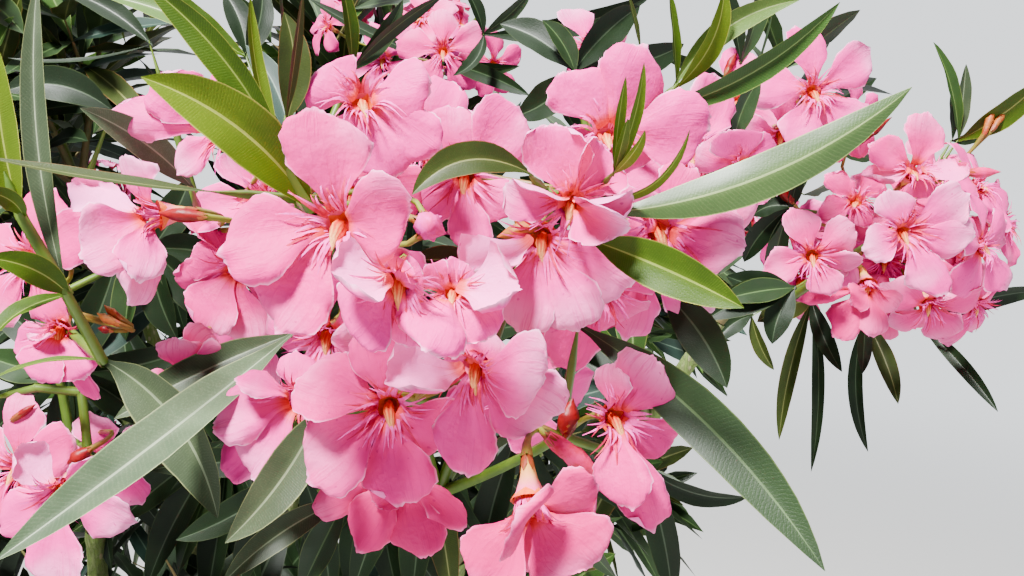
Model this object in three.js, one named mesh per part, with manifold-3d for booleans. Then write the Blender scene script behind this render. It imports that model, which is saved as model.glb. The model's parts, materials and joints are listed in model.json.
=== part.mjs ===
// A pink oleander in a plain terracotta pot: six woody stems from one root, boughs, and a crown of leafy,
// flowering masses. Millimetres, +Z up, origin at the middle of the pot's flat underside.
import * as THREE from 'three';
import { mergeVertices } from 'three/addons/utils/BufferGeometryUtils.js';
import Module from 'manifold-3d';

const wasm = await Module();
wasm.setup();

const clear = 0.3;              // gap between pieces that meet

// The pot and its filling
const potHeight = 330;
const potFoot = 135;            // outer radius of the foot
const potMouth = 185;           // outer radius under the rim
const potWall = 12;
const rimHeight = 48;
const rimProud = 11;
const soilLevel = 296;          // where the stems leave the compost
const potSides = 32;

// The viewpoint that the front of the crown is laid out from: places are given in a 1024 by 576 picture
// with the real distance away from the eye along the line of sight.
const eye = new THREE.Vector3(190, -600, 1130);
const lookDown = THREE.MathUtils.degToRad(8);
const focus = 853;              // picture units for one unit sideways at one unit away
const middle = { x: 512, y: 288 };
const toRight = new THREE.Vector3(1, 0, 0);
const toUp = new THREE.Vector3(0, Math.sin(lookDown), Math.cos(lookDown));
const toViewer = new THREE.Vector3(0, -Math.cos(lookDown), Math.sin(lookDown));

// Leaves, twigs and blooms
const crownHeart = new THREE.Vector3(0, 0, 930);   // what the shoots grow away from
const twigRadius = 2.6;
const stalkRadius = 1.5;        // pedicels and the ends of twigs
const leafThick = 1.5;
const leafLength = 108;
const leafWidth = 28;
const bloomSize = 64;           // the seeded blooms, across
const throatDepth = 15;         // from the petals' plane back to the calyx
const knobRadius = 4.5;         // where several stalks meet
const goldenTurn = 2.39996;

const v = (x, y, z) => new THREE.Vector3(x, y, z);
const mix = (a, b, t) => a.clone().lerp(b, t);

function seen(x, y, away) {
  return eye.clone()
    .addScaledVector(toRight, (x - middle.x) / focus * away)
    .addScaledVector(toUp, (middle.y - y) / focus * away)
    .addScaledVector(toViewer, -away);
}

// The way a bloom opens: turned to the right and lifted up from facing the viewer, in degrees.
function facing(turn, lift) {
  const a = THREE.MathUtils.degToRad(turn);
  const b = THREE.MathUtils.degToRad(lift);
  return v(0, 0, 0)
    .addScaledVector(toRight, Math.sin(a) * Math.cos(b))
    .addScaledVector(toUp, Math.sin(b))
    .addScaledVector(toViewer, Math.cos(a) * Math.cos(b));
}

// A number from 0 to 1 that depends only on the whole numbers it is given.
function chance(...keys) {
  let h = 2166136261;
  for (const key of keys) {
    h = Math.imul(h ^ key, 16777619);
    h ^= h >>> 13;
  }
  h = Math.imul(h, 2246822519);
  h ^= h >>> 15;
  h = Math.imul(h, 3266489917);
  h ^= h >>> 16;
  return (h >>> 0) / 4294967296;
}

// Two directions square to one another and to the axis.
function acrossOf(axis, hint = v(0, 0, 1)) {
  const side = hint.clone().cross(axis);
  if (side.length() < 1e-3) side.set(1, 0, 0);
  side.normalize();
  return [side, axis.clone().cross(side).normalize()];
}

function solidFrom(points, triangles) {
  const made = new wasm.Manifold(new wasm.Mesh({
    numProp: 3,
    vertProperties: Float32Array.from(points.flatMap((p) => [p.x, p.y, p.z])),
    triVerts: Uint32Array.from(triangles.flat()),
  }));
  if (made.volume() > 0) return made;
  return solidFrom(points, triangles.map(([a, b, c]) => [a, c, b]));
}

// A closed skin over rings of points. The rings may have different numbers of points, also only one.
function loft(rings) {
  const triangles = [];
  let from = 0;
  for (let r = 1; r < rings.length; r += 1) {
    const n = rings[r - 1].length;
    const m = rings[r].length;
    const to = from + n;
    let i = 0;
    let j = 0;
    while (i < n || j < m) {
      if (i < n && (j >= m || (i + 1) / n <= (j + 1) / m)) {
        if (n > 1) triangles.push([from + i, from + (i + 1) % n, to + j % m]);
        i += 1;
      } else {
        if (m > 1) triangles.push([from + i % n, to + (j + 1) % m, to + j]);
        j += 1;
      }
    }
    from = to;
  }
  for (let k = 1; k < rings[0].length - 1; k += 1) triangles.push([0, k + 1, k]);
  for (let k = 1; k < rings.at(-1).length - 1; k += 1) triangles.push([from, from + k, from + k + 1]);
  return solidFrom(rings.flat(), triangles);
}

// A round limb along a curve, its radius going from one value to another, with a flare at its foot.
function limb(curve, steps, sides, fromRadius, toRadius, flare = 0) {
  const rings = [];
  for (let i = 0; i <= steps; i += 1) {
    const t = i / steps;
    const [side, up] = acrossOf(i || !flare ? curve.getTangent(t) : v(0, 0, 1), v(0.2, 1, 0.1));
    const radius = fromRadius + (toRadius - fromRadius) * t + flare * Math.max(0, 1 - t * 9) ** 2;
    const ring = [];
    for (let k = 0; k < sides; k += 1) {
      const a = k / sides * 2 * Math.PI;
      ring.push(curve.getPoint(t).addScaledVector(side, radius * Math.cos(a))
        .addScaledVector(up, radius * Math.sin(a)));
    }
    rings.push(ring);
  }
  return loft(rings);
}

// A straight three-sided twig between two points.
function twig(from, to, radius, endRadius = radius * 0.7) {
  return limb(new THREE.LineCurve3(from, to), 1, 3, radius, endRadius);
}

// A leaf of eight faces, or of more where it bows: its outline tapers to a point at both ends.
function leaf(base, tip, blade, wide, bow = v(0, 0, 0), stations = [0.5]) {
  const axis = tip.clone().sub(base).normalize();
  const side = blade.clone().cross(axis).normalize();
  const face = axis.clone().cross(side).normalize();
  const rings = [[base]];
  for (const t of stations) {
    const at = mix(base, tip, t).addScaledVector(bow, 4 * t * (1 - t));
    const half = wide / 2 * Math.sin(Math.PI * t ** 0.9) ** 0.7;
    const thick = leafThick / 2;
    rings.push([
      at.clone().addScaledVector(side, half), at.clone().addScaledVector(face, thick),
      at.clone().addScaledVector(side, -half), at.clone().addScaledVector(face, -thick),
    ]);
  }
  rings.push([tip]);
  return loft(rings);
}

// The outline points of a bloom of five petals, round its middle and square to the way it faces.
function petalOutline(at, face, size, roll, perPetal) {
  const [side, up] = acrossOf(face);
  const outline = [];
  for (let k = 0; k < 5 * perPetal; k += 1) {
    const within = k % perPetal / perPetal;
    const reach = within ? 0.5 : 0.34;                    // the notch between two petals lies further in
    const a = THREE.MathUtils.degToRad(roll + 54) + k / (5 * perPetal) * 2 * Math.PI;
    outline.push(at.clone().addScaledVector(side, size * reach * Math.cos(a))
      .addScaledVector(up, size * reach * Math.sin(a))
      .addScaledVector(face, within ? 0 : -2.5));
  }
  return outline;
}

// A bloom: petals round a throat, narrowing to the calyx behind and on down its stalk to where it hangs.
function bloom(at, face, size, roll, from, perPetal = 2) {
  const rim = petalOutline(at, face, size, roll, perPetal);
  const throat = at.clone().addScaledVector(face, -5);
  const [side, up] = acrossOf(face);
  const calyx = [0, 1, 2].map((k) => {
    const a = THREE.MathUtils.degToRad(roll + 54 + 120 * k);
    return at.clone().addScaledVector(face, -throatDepth)
      .addScaledVector(side, 2.4 * Math.cos(a)).addScaledVector(up, 2.4 * Math.sin(a));
  });
  return loft([[throat], rim, calyx, [from]]);
}

// The small thickening where stalks meet.
function knob(at, radius = knobRadius) {
  const ring = [[1, 0], [0, 1], [-1, 0], [0, -1]]
    .map(([x, y]) => at.clone().add(v(x * radius, y * radius, 0)));
  return loft([[at.clone().add(v(0, 0, radius))], ring, [at.clone().add(v(0, 0, -radius))]]);
}

// A three-sided twig and its whorls of three leaves as one closed skin. Every ring has three sectors: a
// plain ring has one point in each, and a whorl's has a notch and the outline of a leaf, if one grows there.
function leafyTwig(rings) {
  const points = [];
  const at = rings.map((ring) => ring.map((sector) => sector.map((p) => points.push(p) - 1)));
  const triangles = [[at[0][0][0], at[0][2][0], at[0][1][0]]];
  for (let r = 1; r < at.length; r += 1) {
    const upward = at[r - 1].every((sector) => sector.length === 1);
    const [plain, other] = upward ? [at[r - 1], at[r]] : [at[r], at[r - 1]];
    const face = (a, b, c) => triangles.push(upward ? [a, b, c] : [a, c, b]);
    for (let k = 0; k < 3; k += 1) {
      const outline = [...other[k], other[(k + 1) % 3][0]];
      for (let i = 1; i < outline.length; i += 1) face(plain[k][0], outline[i], outline[i - 1]);
      face(plain[k][0], plain[(k + 1) % 3][0], outline.at(-1));
    }
  }
  const last = at.at(-1);
  triangles.push([last[0][0], last[1][0], last[2][0]]);
  return solidFrom(points, triangles);
}

const crosses = (solid, others) => others.some((other) => other.intersect(solid).volume() > 0);

// Stems from the compost, and the boughs on them. A bough starts on its stem's line and is cut clear of it.
const stems = {
  front_stem: { foot: [40, -45], top: [120, -150, 760], bow: [14, 6, 0], radius: [13, 7.5] },
  back_right_stem: { foot: [46, 20], top: [150, 90, 740], bow: [8, -14, 0], radius: [12, 7] },
  back_left_stem: { foot: [-15, 50], top: [-80, 150, 720], bow: [-16, 0, 0], radius: [12, 7] },
  left_stem: { foot: [-52, -5], top: [-170, -30, 740], bow: [0, 16, 0], radius: [12.5, 7] },
  front_left_stem: { foot: [-25, -50], top: [-60, -160, 760], bow: [-14, 0, 0], radius: [12, 7] },
  middle_stem: { foot: [0, 6], top: [22, 5, 900], bow: [10, 12, 0], radius: [13.5, 7] },
};
const boughs = {
  front_bough: { stem: 'front_stem', at: 0.97, bend: [150, -195, 860], tip: [165, -235, 955] },
  right_bough: { stem: 'front_stem', at: 0.8, bend: [205, -130, 900], tip: [296, -168, 1052] },
  upper_right_bough: { stem: 'back_right_stem', at: 0.96, bend: [185, 60, 900], tip: [250, -60, 1080] },
  back_right_bough: { stem: 'back_right_stem', at: 0.72, bend: [190, 110, 820], tip: [245, 160, 950] },
  low_back_right_bough: { stem: 'back_right_stem', at: 0.55, bend: [150, 110, 680], tip: [190, 150, 775] },
  back_left_bough: { stem: 'back_left_stem', at: 0.97, bend: [-130, 165, 830], tip: [-200, 190, 940] },
  back_bough: { stem: 'back_left_stem', at: 0.8, bend: [-50, 200, 800], tip: [-10, 270, 930] },
  low_back_left_bough: { stem: 'back_left_stem', at: 0.6, bend: [-100, 170, 700], tip: [-130, 205, 780] },
  left_bough: { stem: 'left_stem', at: 0.97, bend: [-215, -35, 830], tip: [-270, -50, 930] },
  low_left_bough: { stem: 'left_stem', at: 0.7, bend: [-180, -70, 700], tip: [-205, -115, 785] },
  left_front_bough: { stem: 'front_left_stem', at: 0.97, bend: [-20, -190, 860], tip: [-8, -215, 960] },
  front_left_bough: { stem: 'front_left_stem', at: 0.85, bend: [-105, -205, 830], tip: [-145, -240, 930] },
  low_front_bough: { stem: 'front_left_stem', at: 0.66, bend: [-15, -160, 730], tip: [18, -180, 810] },
  top_bough: { stem: 'middle_stem', at: 0.97, bend: [70, 15, 1010], tip: [105, 25, 1100] },
  top_left_bough: { stem: 'middle_stem', at: 0.86, bend: [-50, 0, 930], tip: [-75, -12, 1060] },
  top_back_bough: { stem: 'middle_stem', at: 0.76, bend: [40, 60, 900], tip: [48, 105, 1055] },
};

// The masses of the crown. Each keeps to the space that is nearer its middle than any other's, and grows
// from the tip of its bough. Shoots are the seeded ones; flowering is how many of them end in blooms.
const masses = {
  front_mass: {
    bough: 'front_bough', middle: [155, -345, 1075], reach: 100, shoots: 3, flowering: 0, seed: 1,
  },
  front_left_inner_mass: {
    bough: 'left_front_bough', middle: [5, -275, 1050], reach: 90, shoots: 4, flowering: 0, seed: 2,
  },
  right_mass: {
    bough: 'right_bough', middle: [384, -178, 1086], reach: 70, shoots: 4, flowering: 1, seed: 3,
  },
  upper_right_mass: {
    bough: 'upper_right_bough', middle: [315, -120, 1185], reach: 70, shoots: 4, flowering: 1, seed: 22,
  },
  top_mass: {
    bough: 'top_bough', middle: [133, 24, 1208], reach: 70, shoots: 4, flowering: 1, seed: 5,
  },
  front_left_mass: {
    bough: 'front_left_bough', middle: [-190, -290, 1050], reach: 80, shoots: 5, flowering: 2, seed: 6,
  },
  left_mass: {
    bough: 'left_bough', middle: [-320, -50, 1060], reach: 85, shoots: 5, flowering: 2, seed: 7,
  },
  back_left_mass: {
    bough: 'back_left_bough', middle: [-255, 215, 1070], reach: 85, shoots: 5, flowering: 2, seed: 8,
  },
  back_mass: {
    bough: 'back_bough', middle: [15, 320, 1060], reach: 85, shoots: 5, flowering: 2, seed: 21,
  },
  back_right_mass: {
    bough: 'back_right_bough', middle: [287, 192, 1060], reach: 85, shoots: 5, flowering: 2, seed: 10,
  },
  top_left_mass: {
    bough: 'top_left_bough', middle: [-140, -35, 1200], reach: 80, shoots: 5, flowering: 2, seed: 11,
  },
  top_back_mass: {
    bough: 'top_back_bough', middle: [50, 190, 1200], reach: 75, shoots: 5, flowering: 2, seed: 12,
  },
  low_front_mass: {
    bough: 'low_front_bough', middle: [40, -205, 905], reach: 75, shoots: 4, flowering: 0, seed: 13,
  },
  low_left_mass: {
    bough: 'low_left_bough', middle: [-240, -175, 880], reach: 80, shoots: 4, flowering: 1, seed: 14,
  },
  low_back_left_mass: {
    bough: 'low_back_left_bough', middle: [-180, 250, 870], reach: 80, shoots: 4, flowering: 1, seed: 15,
  },
  low_back_right_mass: {
    bough: 'low_back_right_bough', middle: [220, 180, 850], reach: 75, shoots: 4, flowering: 0, seed: 16,
  },
};

// What is laid out by hand in the front of the crown. A cluster has its hub, its blooms and its sprigs: a
// sprig is a run of twig from the hub through its points, with leaves on them.
const clusters = [
  {
    mass: 'front_mass', hub: { x: 300, y: 200, away: 286 },
    blooms: [
      { x: 333, y: 232, away: 218, turn: -8, lift: 6, roll: 0, size: 58 },
      { x: 360, y: 99, away: 268, turn: 6, lift: 18, roll: 40, size: 58 },
      { x: 378, y: 300, away: 262, turn: 0, lift: -42, roll: 10, size: 54 },
    ],
    sprigs: [
      {
        points: [{ x: 312, y: 212, away: 232 }, { x: 285, y: 165, away: 226 }, { x: 262, y: 135, away: 224 }],
        leaves: [
          { on: 0, x: 143, y: 78, away: 206, wide: 11, tip: 18, bow: 4 },
          { on: 1, x: 140, y: -20, away: 216, wide: 9.5, tip: -20, bow: 5 },
          { on: 1, x: 250, y: -6, away: 226, wide: 5, tip: 55, bow: -3 },
          { on: 2, x: 238, y: 108, away: 220, wide: 3, tip: 30, bow: 0 },
        ],
      },
      {
        points: [{ x: 290, y: 142, away: 268 }, { x: 286, y: 120, away: 266 }],
        leaves: [
          { on: 1, x: 284, y: 12, away: 262, wide: 10, tip: 15, bow: -3 },
          { on: 1, x: 303, y: -10, away: 235, wide: 3.5, tip: 65, bow: 0 },
          { on: 0, x: 246, y: 45, away: 290, wide: 9, tip: 20, bow: 3 },
        ],
      },
      {
        points: [{ x: 215, y: 192, away: 240 }],
        leaves: [{ on: 0, x: -14, y: 157, away: 222, wide: 4, tip: 68, bow: -2 }],
      },
      {
        points: [{ x: 286, y: 346, away: 250 }],
        leaves: [
          { on: 0, x: -6, y: 565, away: 214, wide: 14.5, tip: 8, bow: 4 },
          { on: 0, x: 114, y: 419, away: 262, wide: 12, tip: 30, bow: -3 },
        ],
      },
    ],
  },
  {
    mass: 'front_mass', hub: { x: 205, y: 232, away: 338 },
    blooms: [
      { x: 222, y: 130, away: 285, turn: -24, lift: 10, roll: 20, size: 56 },
      { x: 168, y: 212, away: 272, turn: -58, lift: -8, roll: 10, size: 56 },
      { x: 208, y: 264, away: 320, turn: -20, lift: -38, roll: 30, size: 52 },
      { x: 185, y: 368, away: 294, turn: -30, lift: -40, roll: 0, size: 54 },
    ],
    sprigs: [
      {
        points: [{ x: 192, y: 188, away: 308 }],
        leaves: [{ on: 0, x: 80, y: 108, away: 268, wide: 9.5, tip: 5, bow: 3 }],
      },
    ],
  },
  {
    mass: 'front_mass', hub: { x: 545, y: 192, away: 280 },
    blooms: [
      { x: 543, y: 250, away: 256, turn: -14, lift: -14, roll: 10, size: 58 },
      { x: 567, y: 205, away: 222, turn: 8, lift: 40, roll: 5, size: 50 },
      { x: 610, y: 132, away: 262, turn: 8, lift: 26, roll: 20, size: 58 },
      { x: 657, y: 228, away: 236, turn: 8, lift: -10, roll: 0, size: 58 },
    ],
    sprigs: [
      {
        points: [{ x: 592, y: 200, away: 220 }, { x: 614, y: 172, away: 216 }],
        leaves: [
          { on: 1, x: 646, y: 60, away: 212, wide: 4.5, tip: 30, bow: -3 },
          { on: 1, x: 626, y: 76, away: 208, wide: 4, tip: 20, bow: 2 },
          { on: 1, x: 642, y: 132, away: 206, wide: 4, tip: 35, bow: -2 },
          { on: 0, x: 690, y: 129, away: 205, wide: 3.2, tip: 50, bow: -6 },
        ],
      },
      {
        points: [{ x: 602, y: 212, away: 236 }],
        leaves: [{ on: 0, x: 912, y: 87, away: 214, wide: 13, tip: 16, bow: -7 }],
      },
      {
        points: [{ x: 590, y: 240, away: 228 }],
        leaves: [{ on: 0, x: 744, y: 308, away: 208, wide: 14, tip: -12, bow: 5 }],
      },
      {
        points: [{ x: 530, y: 176, away: 240 }],
        leaves: [{ on: 0, x: 412, y: 195, away: 232, wide: 9, tip: -30, bow: 17 }],
      },
    ],
  },
  {
    mass: 'front_mass', hub: { x: 600, y: 196, away: 334 },
    blooms: [
      { x: 466, y: 176, away: 290, turn: -5, lift: -10, roll: 25, size: 58 },
      { x: 602, y: 292, away: 290, turn: 15, lift: -32, roll: 0, size: 56 },
      { x: 730, y: 168, away: 300, turn: 30, lift: 5, roll: 0, size: 46 },
    ],
    sprigs: [
      {
        points: [{ x: 655, y: 110, away: 285 }, { x: 676, y: 86, away: 280 }],
        leaves: [
          { on: 1, x: 668, y: -14, away: 276, wide: 6, tip: 50, bow: 0 },
          { on: 1, x: 724, y: -14, away: 268, wide: 8, tip: 30, bow: -4 },
          { on: 1, x: 800, y: 0, away: 270, wide: 8, tip: 10, bow: 6 },
          { on: 0, x: 840, y: 2, away: 262, wide: 8, tip: 25, bow: -5 },
        ],
      },
      {
        points: [{ x: 574, y: 72, away: 330 }],
        leaves: [{ on: 0, x: 542, y: 20, away: 326, wide: 9, tip: 20, bow: 2 }],
      },
      {
        points: [{ x: 662, y: 292, away: 314 }],
        leaves: [{ on: 0, x: 727, y: 388, away: 300, wide: 15, tip: 15, bow: 3 }],
      },
      {
        points: [{ x: 735, y: 142, away: 320 }],
        leaves: [
          { on: 0, x: 761, y: 78, away: 320, wide: 9, tip: 20, bow: 2 },
          { on: 0, x: 722, y: 82, away: 330, wide: 9, tip: 25, bow: -2 },
        ],
      },
    ],
  },
  {
    mass: 'front_mass', hub: { x: 414, y: 398, away: 302 },
    blooms: [
      { x: 385, y: 418, away: 256, turn: 3, lift: -4, roll: -10, size: 58 },
      { x: 476, y: 384, away: 242, turn: -22, lift: -22, roll: 15, size: 56 },
      { x: 272, y: 412, away: 282, turn: -24, lift: -24, roll: 0, size: 56 },
      { x: 418, y: 484, away: 290, turn: 0, lift: -50, roll: 0, size: 54 },
      { x: 455, y: 292, away: 220, turn: -5, lift: 14, roll: 20, size: 46 },
    ],
    sprigs: [
      {
        points: [{ x: 412, y: 262, away: 302 }],
        leaves: [{ on: 0, x: 486, y: 270, away: 300, wide: 11, tip: 10, bow: 2 }],
      },
      {
        points: [{ x: 322, y: 404, away: 276 }],
        leaves: [{ on: 0, x: 225, y: 543, away: 240, wide: 12, tip: 10, bow: -3 }],
      },
      {
        points: [{ x: 345, y: 500, away: 300 }],
        leaves: [
          { on: 0, x: 222, y: 584, away: 280, wide: 10, tip: 10, bow: 3 },
          { on: 0, x: 300, y: 592, away: 300, wide: 12, tip: 20, bow: 0 },
        ],
      },
    ],
  },
  {
    mass: 'front_mass', hub: { x: 560, y: 436, away: 282 },
    blooms: [
      { x: 541, y: 502, away: 228, turn: 6, lift: -58, roll: 0, size: 58 },
      { x: 614, y: 424, away: 252, turn: 18, lift: 4, roll: 10, size: 54 },
    ],
    sprigs: [
      {
        points: [{ x: 578, y: 326, away: 268 }],
        leaves: [{ on: 0, x: 825, y: 571, away: 226, wide: 15.5, tip: -14, bow: 6 }],
      },
      {
        points: [{ x: 640, y: 462, away: 290 }],
        leaves: [
          { on: 0, x: 748, y: 497, away: 284, wide: 8, tip: 30, bow: -4 },
          { on: 0, x: 672, y: 598, away: 292, wide: 11, tip: 20, bow: 2 },
        ],
      },
    ],
  },
  {
    mass: 'front_left_inner_mass', hub: { x: 40, y: 304, away: 372 },
    blooms: [
      { x: 30, y: 258, away: 328, turn: -16, lift: 6, roll: 0, size: 56 },
      { x: 52, y: 352, away: 318, turn: 8, lift: -42, roll: 20, size: 54 },
      { x: -48, y: 318, away: 352, turn: -40, lift: -5, roll: 0, size: 52 },
    ],
    sprigs: [
      {
        points: [
          { x: 104, y: 362, away: 284 }, { x: 68, y: 296, away: 268 }, { x: 22, y: 218, away: 262 },
          { x: 6, y: 176, away: 258 },
        ],
        leaves: [
          { on: 0, x: 218, y: 518, away: 270, wide: 21, tip: 12, bow: 8 },
          { on: 0, x: -12, y: 382, away: 268, wide: 3.5, tip: 62, bow: 3 },
          { on: 1, x: 38, y: -24, away: 278, wide: 9, tip: 10, bow: -5 },
          { on: 1, x: -14, y: 258, away: 248, wide: 9, tip: 25, bow: 3 },
          { on: 1, x: -14, y: 350, away: 246, wide: 7, tip: 30, bow: 4 },
          { on: 2, x: -2, y: 42, away: 254, wide: 14, tip: 12, bow: -9 },
          { on: 2, x: -22, y: 190, away: 246, wide: 6, tip: 25, bow: 3 },
        ],
      },
      {
        points: [{ x: 112, y: 112, away: 330 }],
        leaves: [
          { on: 0, x: 4, y: 92, away: 322, wide: 14, tip: 12, bow: 6 },
          { on: 0, x: 6, y: 70, away: 338, wide: 4, tip: 60, bow: 3 },
        ],
      },
    ],
  },
  {
    mass: 'front_left_inner_mass', hub: { x: 70, y: 440, away: 382 },
    blooms: [
      { x: 16, y: 468, away: 346, turn: -14, lift: 10, roll: 0, size: 56 },
      { x: 66, y: 510, away: 318, turn: 6, lift: -24, roll: 30, size: 56 },
      { x: 104, y: 462, away: 356, turn: 30, lift: 20, roll: 0, size: 42 },
      { x: -44, y: 530, away: 356, turn: -40, lift: -10, roll: 0, size: 52 },
    ],
    sprigs: [],
  },
  {
    mass: 'right_mass', hub: { x: 898, y: 226, away: 482 },
    blooms: [
      { x: 811, y: 257, away: 412, turn: -20, lift: -4, roll: 0, size: 52 },
      { x: 908, y: 234, away: 398, turn: 6, lift: -4, roll: 20, size: 60 },
      { x: 915, y: 170, away: 428, turn: 6, lift: 26, roll: 0, size: 56 },
      { x: 852, y: 194, away: 450, turn: -18, lift: 22, roll: 30, size: 50 },
      { x: 864, y: 304, away: 426, turn: -6, lift: -44, roll: 10, size: 56 },
      { x: 984, y: 246, away: 428, turn: 40, lift: 0, roll: 0, size: 54 },
      { x: 930, y: 306, away: 442, turn: 12, lift: -40, roll: 0, size: 52 },
      { x: 980, y: 184, away: 462, turn: 38, lift: 24, roll: 20, size: 50 },
      { x: 978, y: 306, away: 466, turn: 26, lift: -36, roll: 0, size: 50 },
    ],
    sprigs: [
      {
        points: [{ x: 812, y: 300, away: 470 }],
        leaves: [
          { on: 0, x: 757, y: 322, away: 440, wide: 15, tip: 10, bow: 2 },
          { on: 0, x: 842, y: 372, away: 446, wide: 10, tip: 20, bow: -2 },
          { on: 0, x: 811, y: 472, away: 462, wide: 7, tip: 35, bow: -4 },
          { on: 0, x: 779, y: 440, away: 480, wide: 9, tip: 25, bow: 3 },
        ],
      },
      {
        points: [{ x: 865, y: 320, away: 474 }],
        leaves: [
          { on: 0, x: 868, y: 452, away: 476, wide: 8, tip: 30, bow: -6 },
          { on: 0, x: 898, y: 404, away: 452, wide: 10, tip: 15, bow: 2 },
          { on: 0, x: 862, y: 374, away: 450, wide: 8, tip: 15, bow: 0 },
        ],
      },
      {
        points: [{ x: 918, y: 322, away: 492 }],
        leaves: [
          { on: 0, x: 998, y: 412, away: 450, wide: 8, tip: 20, bow: 2 },
          { on: 0, x: 1050, y: 290, away: 512, wide: 12, tip: 20, bow: 4 },
        ],
      },
      {
        points: [{ x: 958, y: 140, away: 484 }],
        leaves: [
          { on: 0, x: 933, y: 42, away: 462, wide: 10, tip: 25, bow: 3 },
          { on: 0, x: 966, y: 64, away: 478, wide: 8, tip: 10, bow: 0 },
          { on: 0, x: 1048, y: 74, away: 452, wide: 13, tip: 15, bow: -3 },
        ],
      },
    ],
  },
  {
    mass: 'upper_right_mass', hub: { x: 790, y: 112, away: 462 },
    blooms: [
      { x: 815, y: 91, away: 390, turn: 4, lift: 4, roll: 10, size: 58 },
      { x: 738, y: 100, away: 438, turn: -22, lift: 8, roll: 0, size: 50 },
      { x: 782, y: 136, away: 412, turn: -4, lift: -30, roll: 0, size: 50 },
      { x: 852, y: 120, away: 446, turn: 34, lift: -6, roll: 0, size: 46 },
    ],
    sprigs: [
      {
        points: [{ x: 740, y: 62, away: 440 }],
        leaves: [
          { on: 0, x: 708, y: -30, away: 430, wide: 11, tip: 20, bow: 3 },
          { on: 0, x: 762, y: -40, away: 440, wide: 12, tip: 30, bow: -3 },
        ],
      },
    ],
  },
  {
    mass: 'top_mass', hub: { x: 430, y: 62, away: 652 },
    blooms: [
      { x: 443, y: 51, away: 590, turn: 0, lift: -4, roll: 0, size: 58 },
      { x: 382, y: 60, away: 610, turn: -26, lift: 0, roll: 20, size: 52 },
      { x: 494, y: 64, away: 622, turn: 26, lift: -8, roll: 0, size: 48 },
      { x: 326, y: 26, away: 640, turn: -40, lift: 10, roll: 0, size: 46 },
      { x: 420, y: 18, away: 616, turn: -6, lift: 34, roll: 0, size: 50 },
    ],
    sprigs: [
      {
        points: [{ x: 480, y: 16, away: 604 }, { x: 483, y: 34, away: 566 }],
        leaves: [
          { on: 1, x: 463, y: -14, away: 556, wide: 10, tip: 30, bow: 2 },
          { on: 1, x: 532, y: -10, away: 552, wide: 9, tip: 30, bow: -2 },
          { on: 1, x: 654, y: -6, away: 520, wide: 14, tip: 20, bow: -8 },
          { on: 1, x: 453, y: 76, away: 545, wide: 10, tip: 20, bow: -6 },
        ],
      },
    ],
  },
];
const behindHub = 26;       // seeded shoots of a laid-out mass stay this far behind its blooms' hubs

const massNames = Object.keys(masses);
const middles = massNames.map((name) => v(...masses[name].middle));

function stemCurve(name) {
  const { foot, top, bow } = stems[name];
  const from = v(foot[0], foot[1], soilLevel + clear);
  const to = v(...top);
  const bend = mix(from, to, 0.45).add(v(...bow)).add(v((from.x - to.x) / 5, (from.y - to.y) / 5, 0));
  return new THREE.QuadraticBezierCurve3(from, bend, to);
}

function boughCurve(name) {
  const { stem, at, bend, tip } = boughs[name];
  return new THREE.QuadraticBezierCurve3(stemCurve(stem).getPoint(at), v(...bend), v(...tip));
}

const boughRadius = [6.2, 4.2];
const limbSamples = [];             // points along every stem and bough, which no leaf may touch
for (const [curveOf, names, wide] of [[stemCurve, stems, 13], [boughCurve, boughs, 6]]) {
  for (const name of Object.keys(names)) {
    const curve = curveOf(name);
    for (let i = 0; i <= 24; i += 1) limbSamples.push({ name, at: curve.getPoint(i / 24), wide });
  }
}

// Where a mass starts, at the tip of its bough, and where its shoots fork.
function rootOf(name) {
  const { bough, middle: centre } = masses[name];
  const curve = boughCurve(bough);
  const along = curve.getTangent(1);
  const entry = curve.getPoint(1).addScaledVector(along, clear);
  const fork = mix(entry, v(...centre), 0.4);
  const bend = entry.clone().addScaledVector(along, entry.distanceTo(fork) * 0.45);
  return new THREE.QuadraticBezierCurve3(entry, bend, fork);
}

// Whether the points lie in a mass's own space, by a margin, and clear of the limbs.
function keepsToSpace(index, points, margin = 2) {
  const own = middles[index];
  return points.every((p) => middles.every((other, k) => {
    if (k === index) return true;
    const between = other.clone().sub(own);
    return p.clone().sub(mix(own, other, 0.5)).dot(between) / between.length() < -margin;
  }));
}

function clearOfLimbs(points, ownBough) {
  return limbSamples.every(({ name, at, wide }) => name === ownBough
    || points.every((p) => p.distanceTo(at) > wide + 19));
}

// The things laid out by hand, as points with a radius that seeded ones of other masses keep clear of.
const handPlaced = [];
for (const cluster of clusters) {
  const index = massNames.indexOf(cluster.mass);
  for (const b of cluster.blooms) {
    handPlaced.push({ index, at: seen(b.x, b.y, b.away), wide: b.size / 2 });
  }
  for (const sprig of cluster.sprigs) {
    for (const l of sprig.leaves) {
      const base = sprig.points[l.on];
      for (const t of [0, 0.2, 0.4, 0.6, 0.8, 1]) {
        const at = mix(seen(base.x, base.y, base.away), seen(l.x, l.y, l.away), t);
        handPlaced.push({ index, at, wide: l.wide / 2 + 6 });
      }
    }
  }
}

for (const [index, name] of massNames.entries()) {
  const root = rootOf(name);
  for (const t of [0, 0.33, 0.67, 1]) handPlaced.push({ index, at: root.getPoint(t), wide: 12 });
}

function clearOfHand(index, points) {
  return handPlaced.every((h) => h.index === index
    || points.every((p) => p.distanceTo(h.at) > h.wide + 9));
}

// How far from the viewer a point lies, along the line of sight.
const awayOf = (p) => p.clone().sub(eye).dot(toViewer) * -1;

// The points that say where a leaf reaches.
function leafReach(base, tip, across, wide) {
  return [0.25, 0.45, 0.7, 1].map((t) => mix(base, tip, t)).concat(
    [-1, 1].map((way) => mix(base, tip, 0.45).addScaledVector(across, way * wide / 2)),
  );
}

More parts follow.
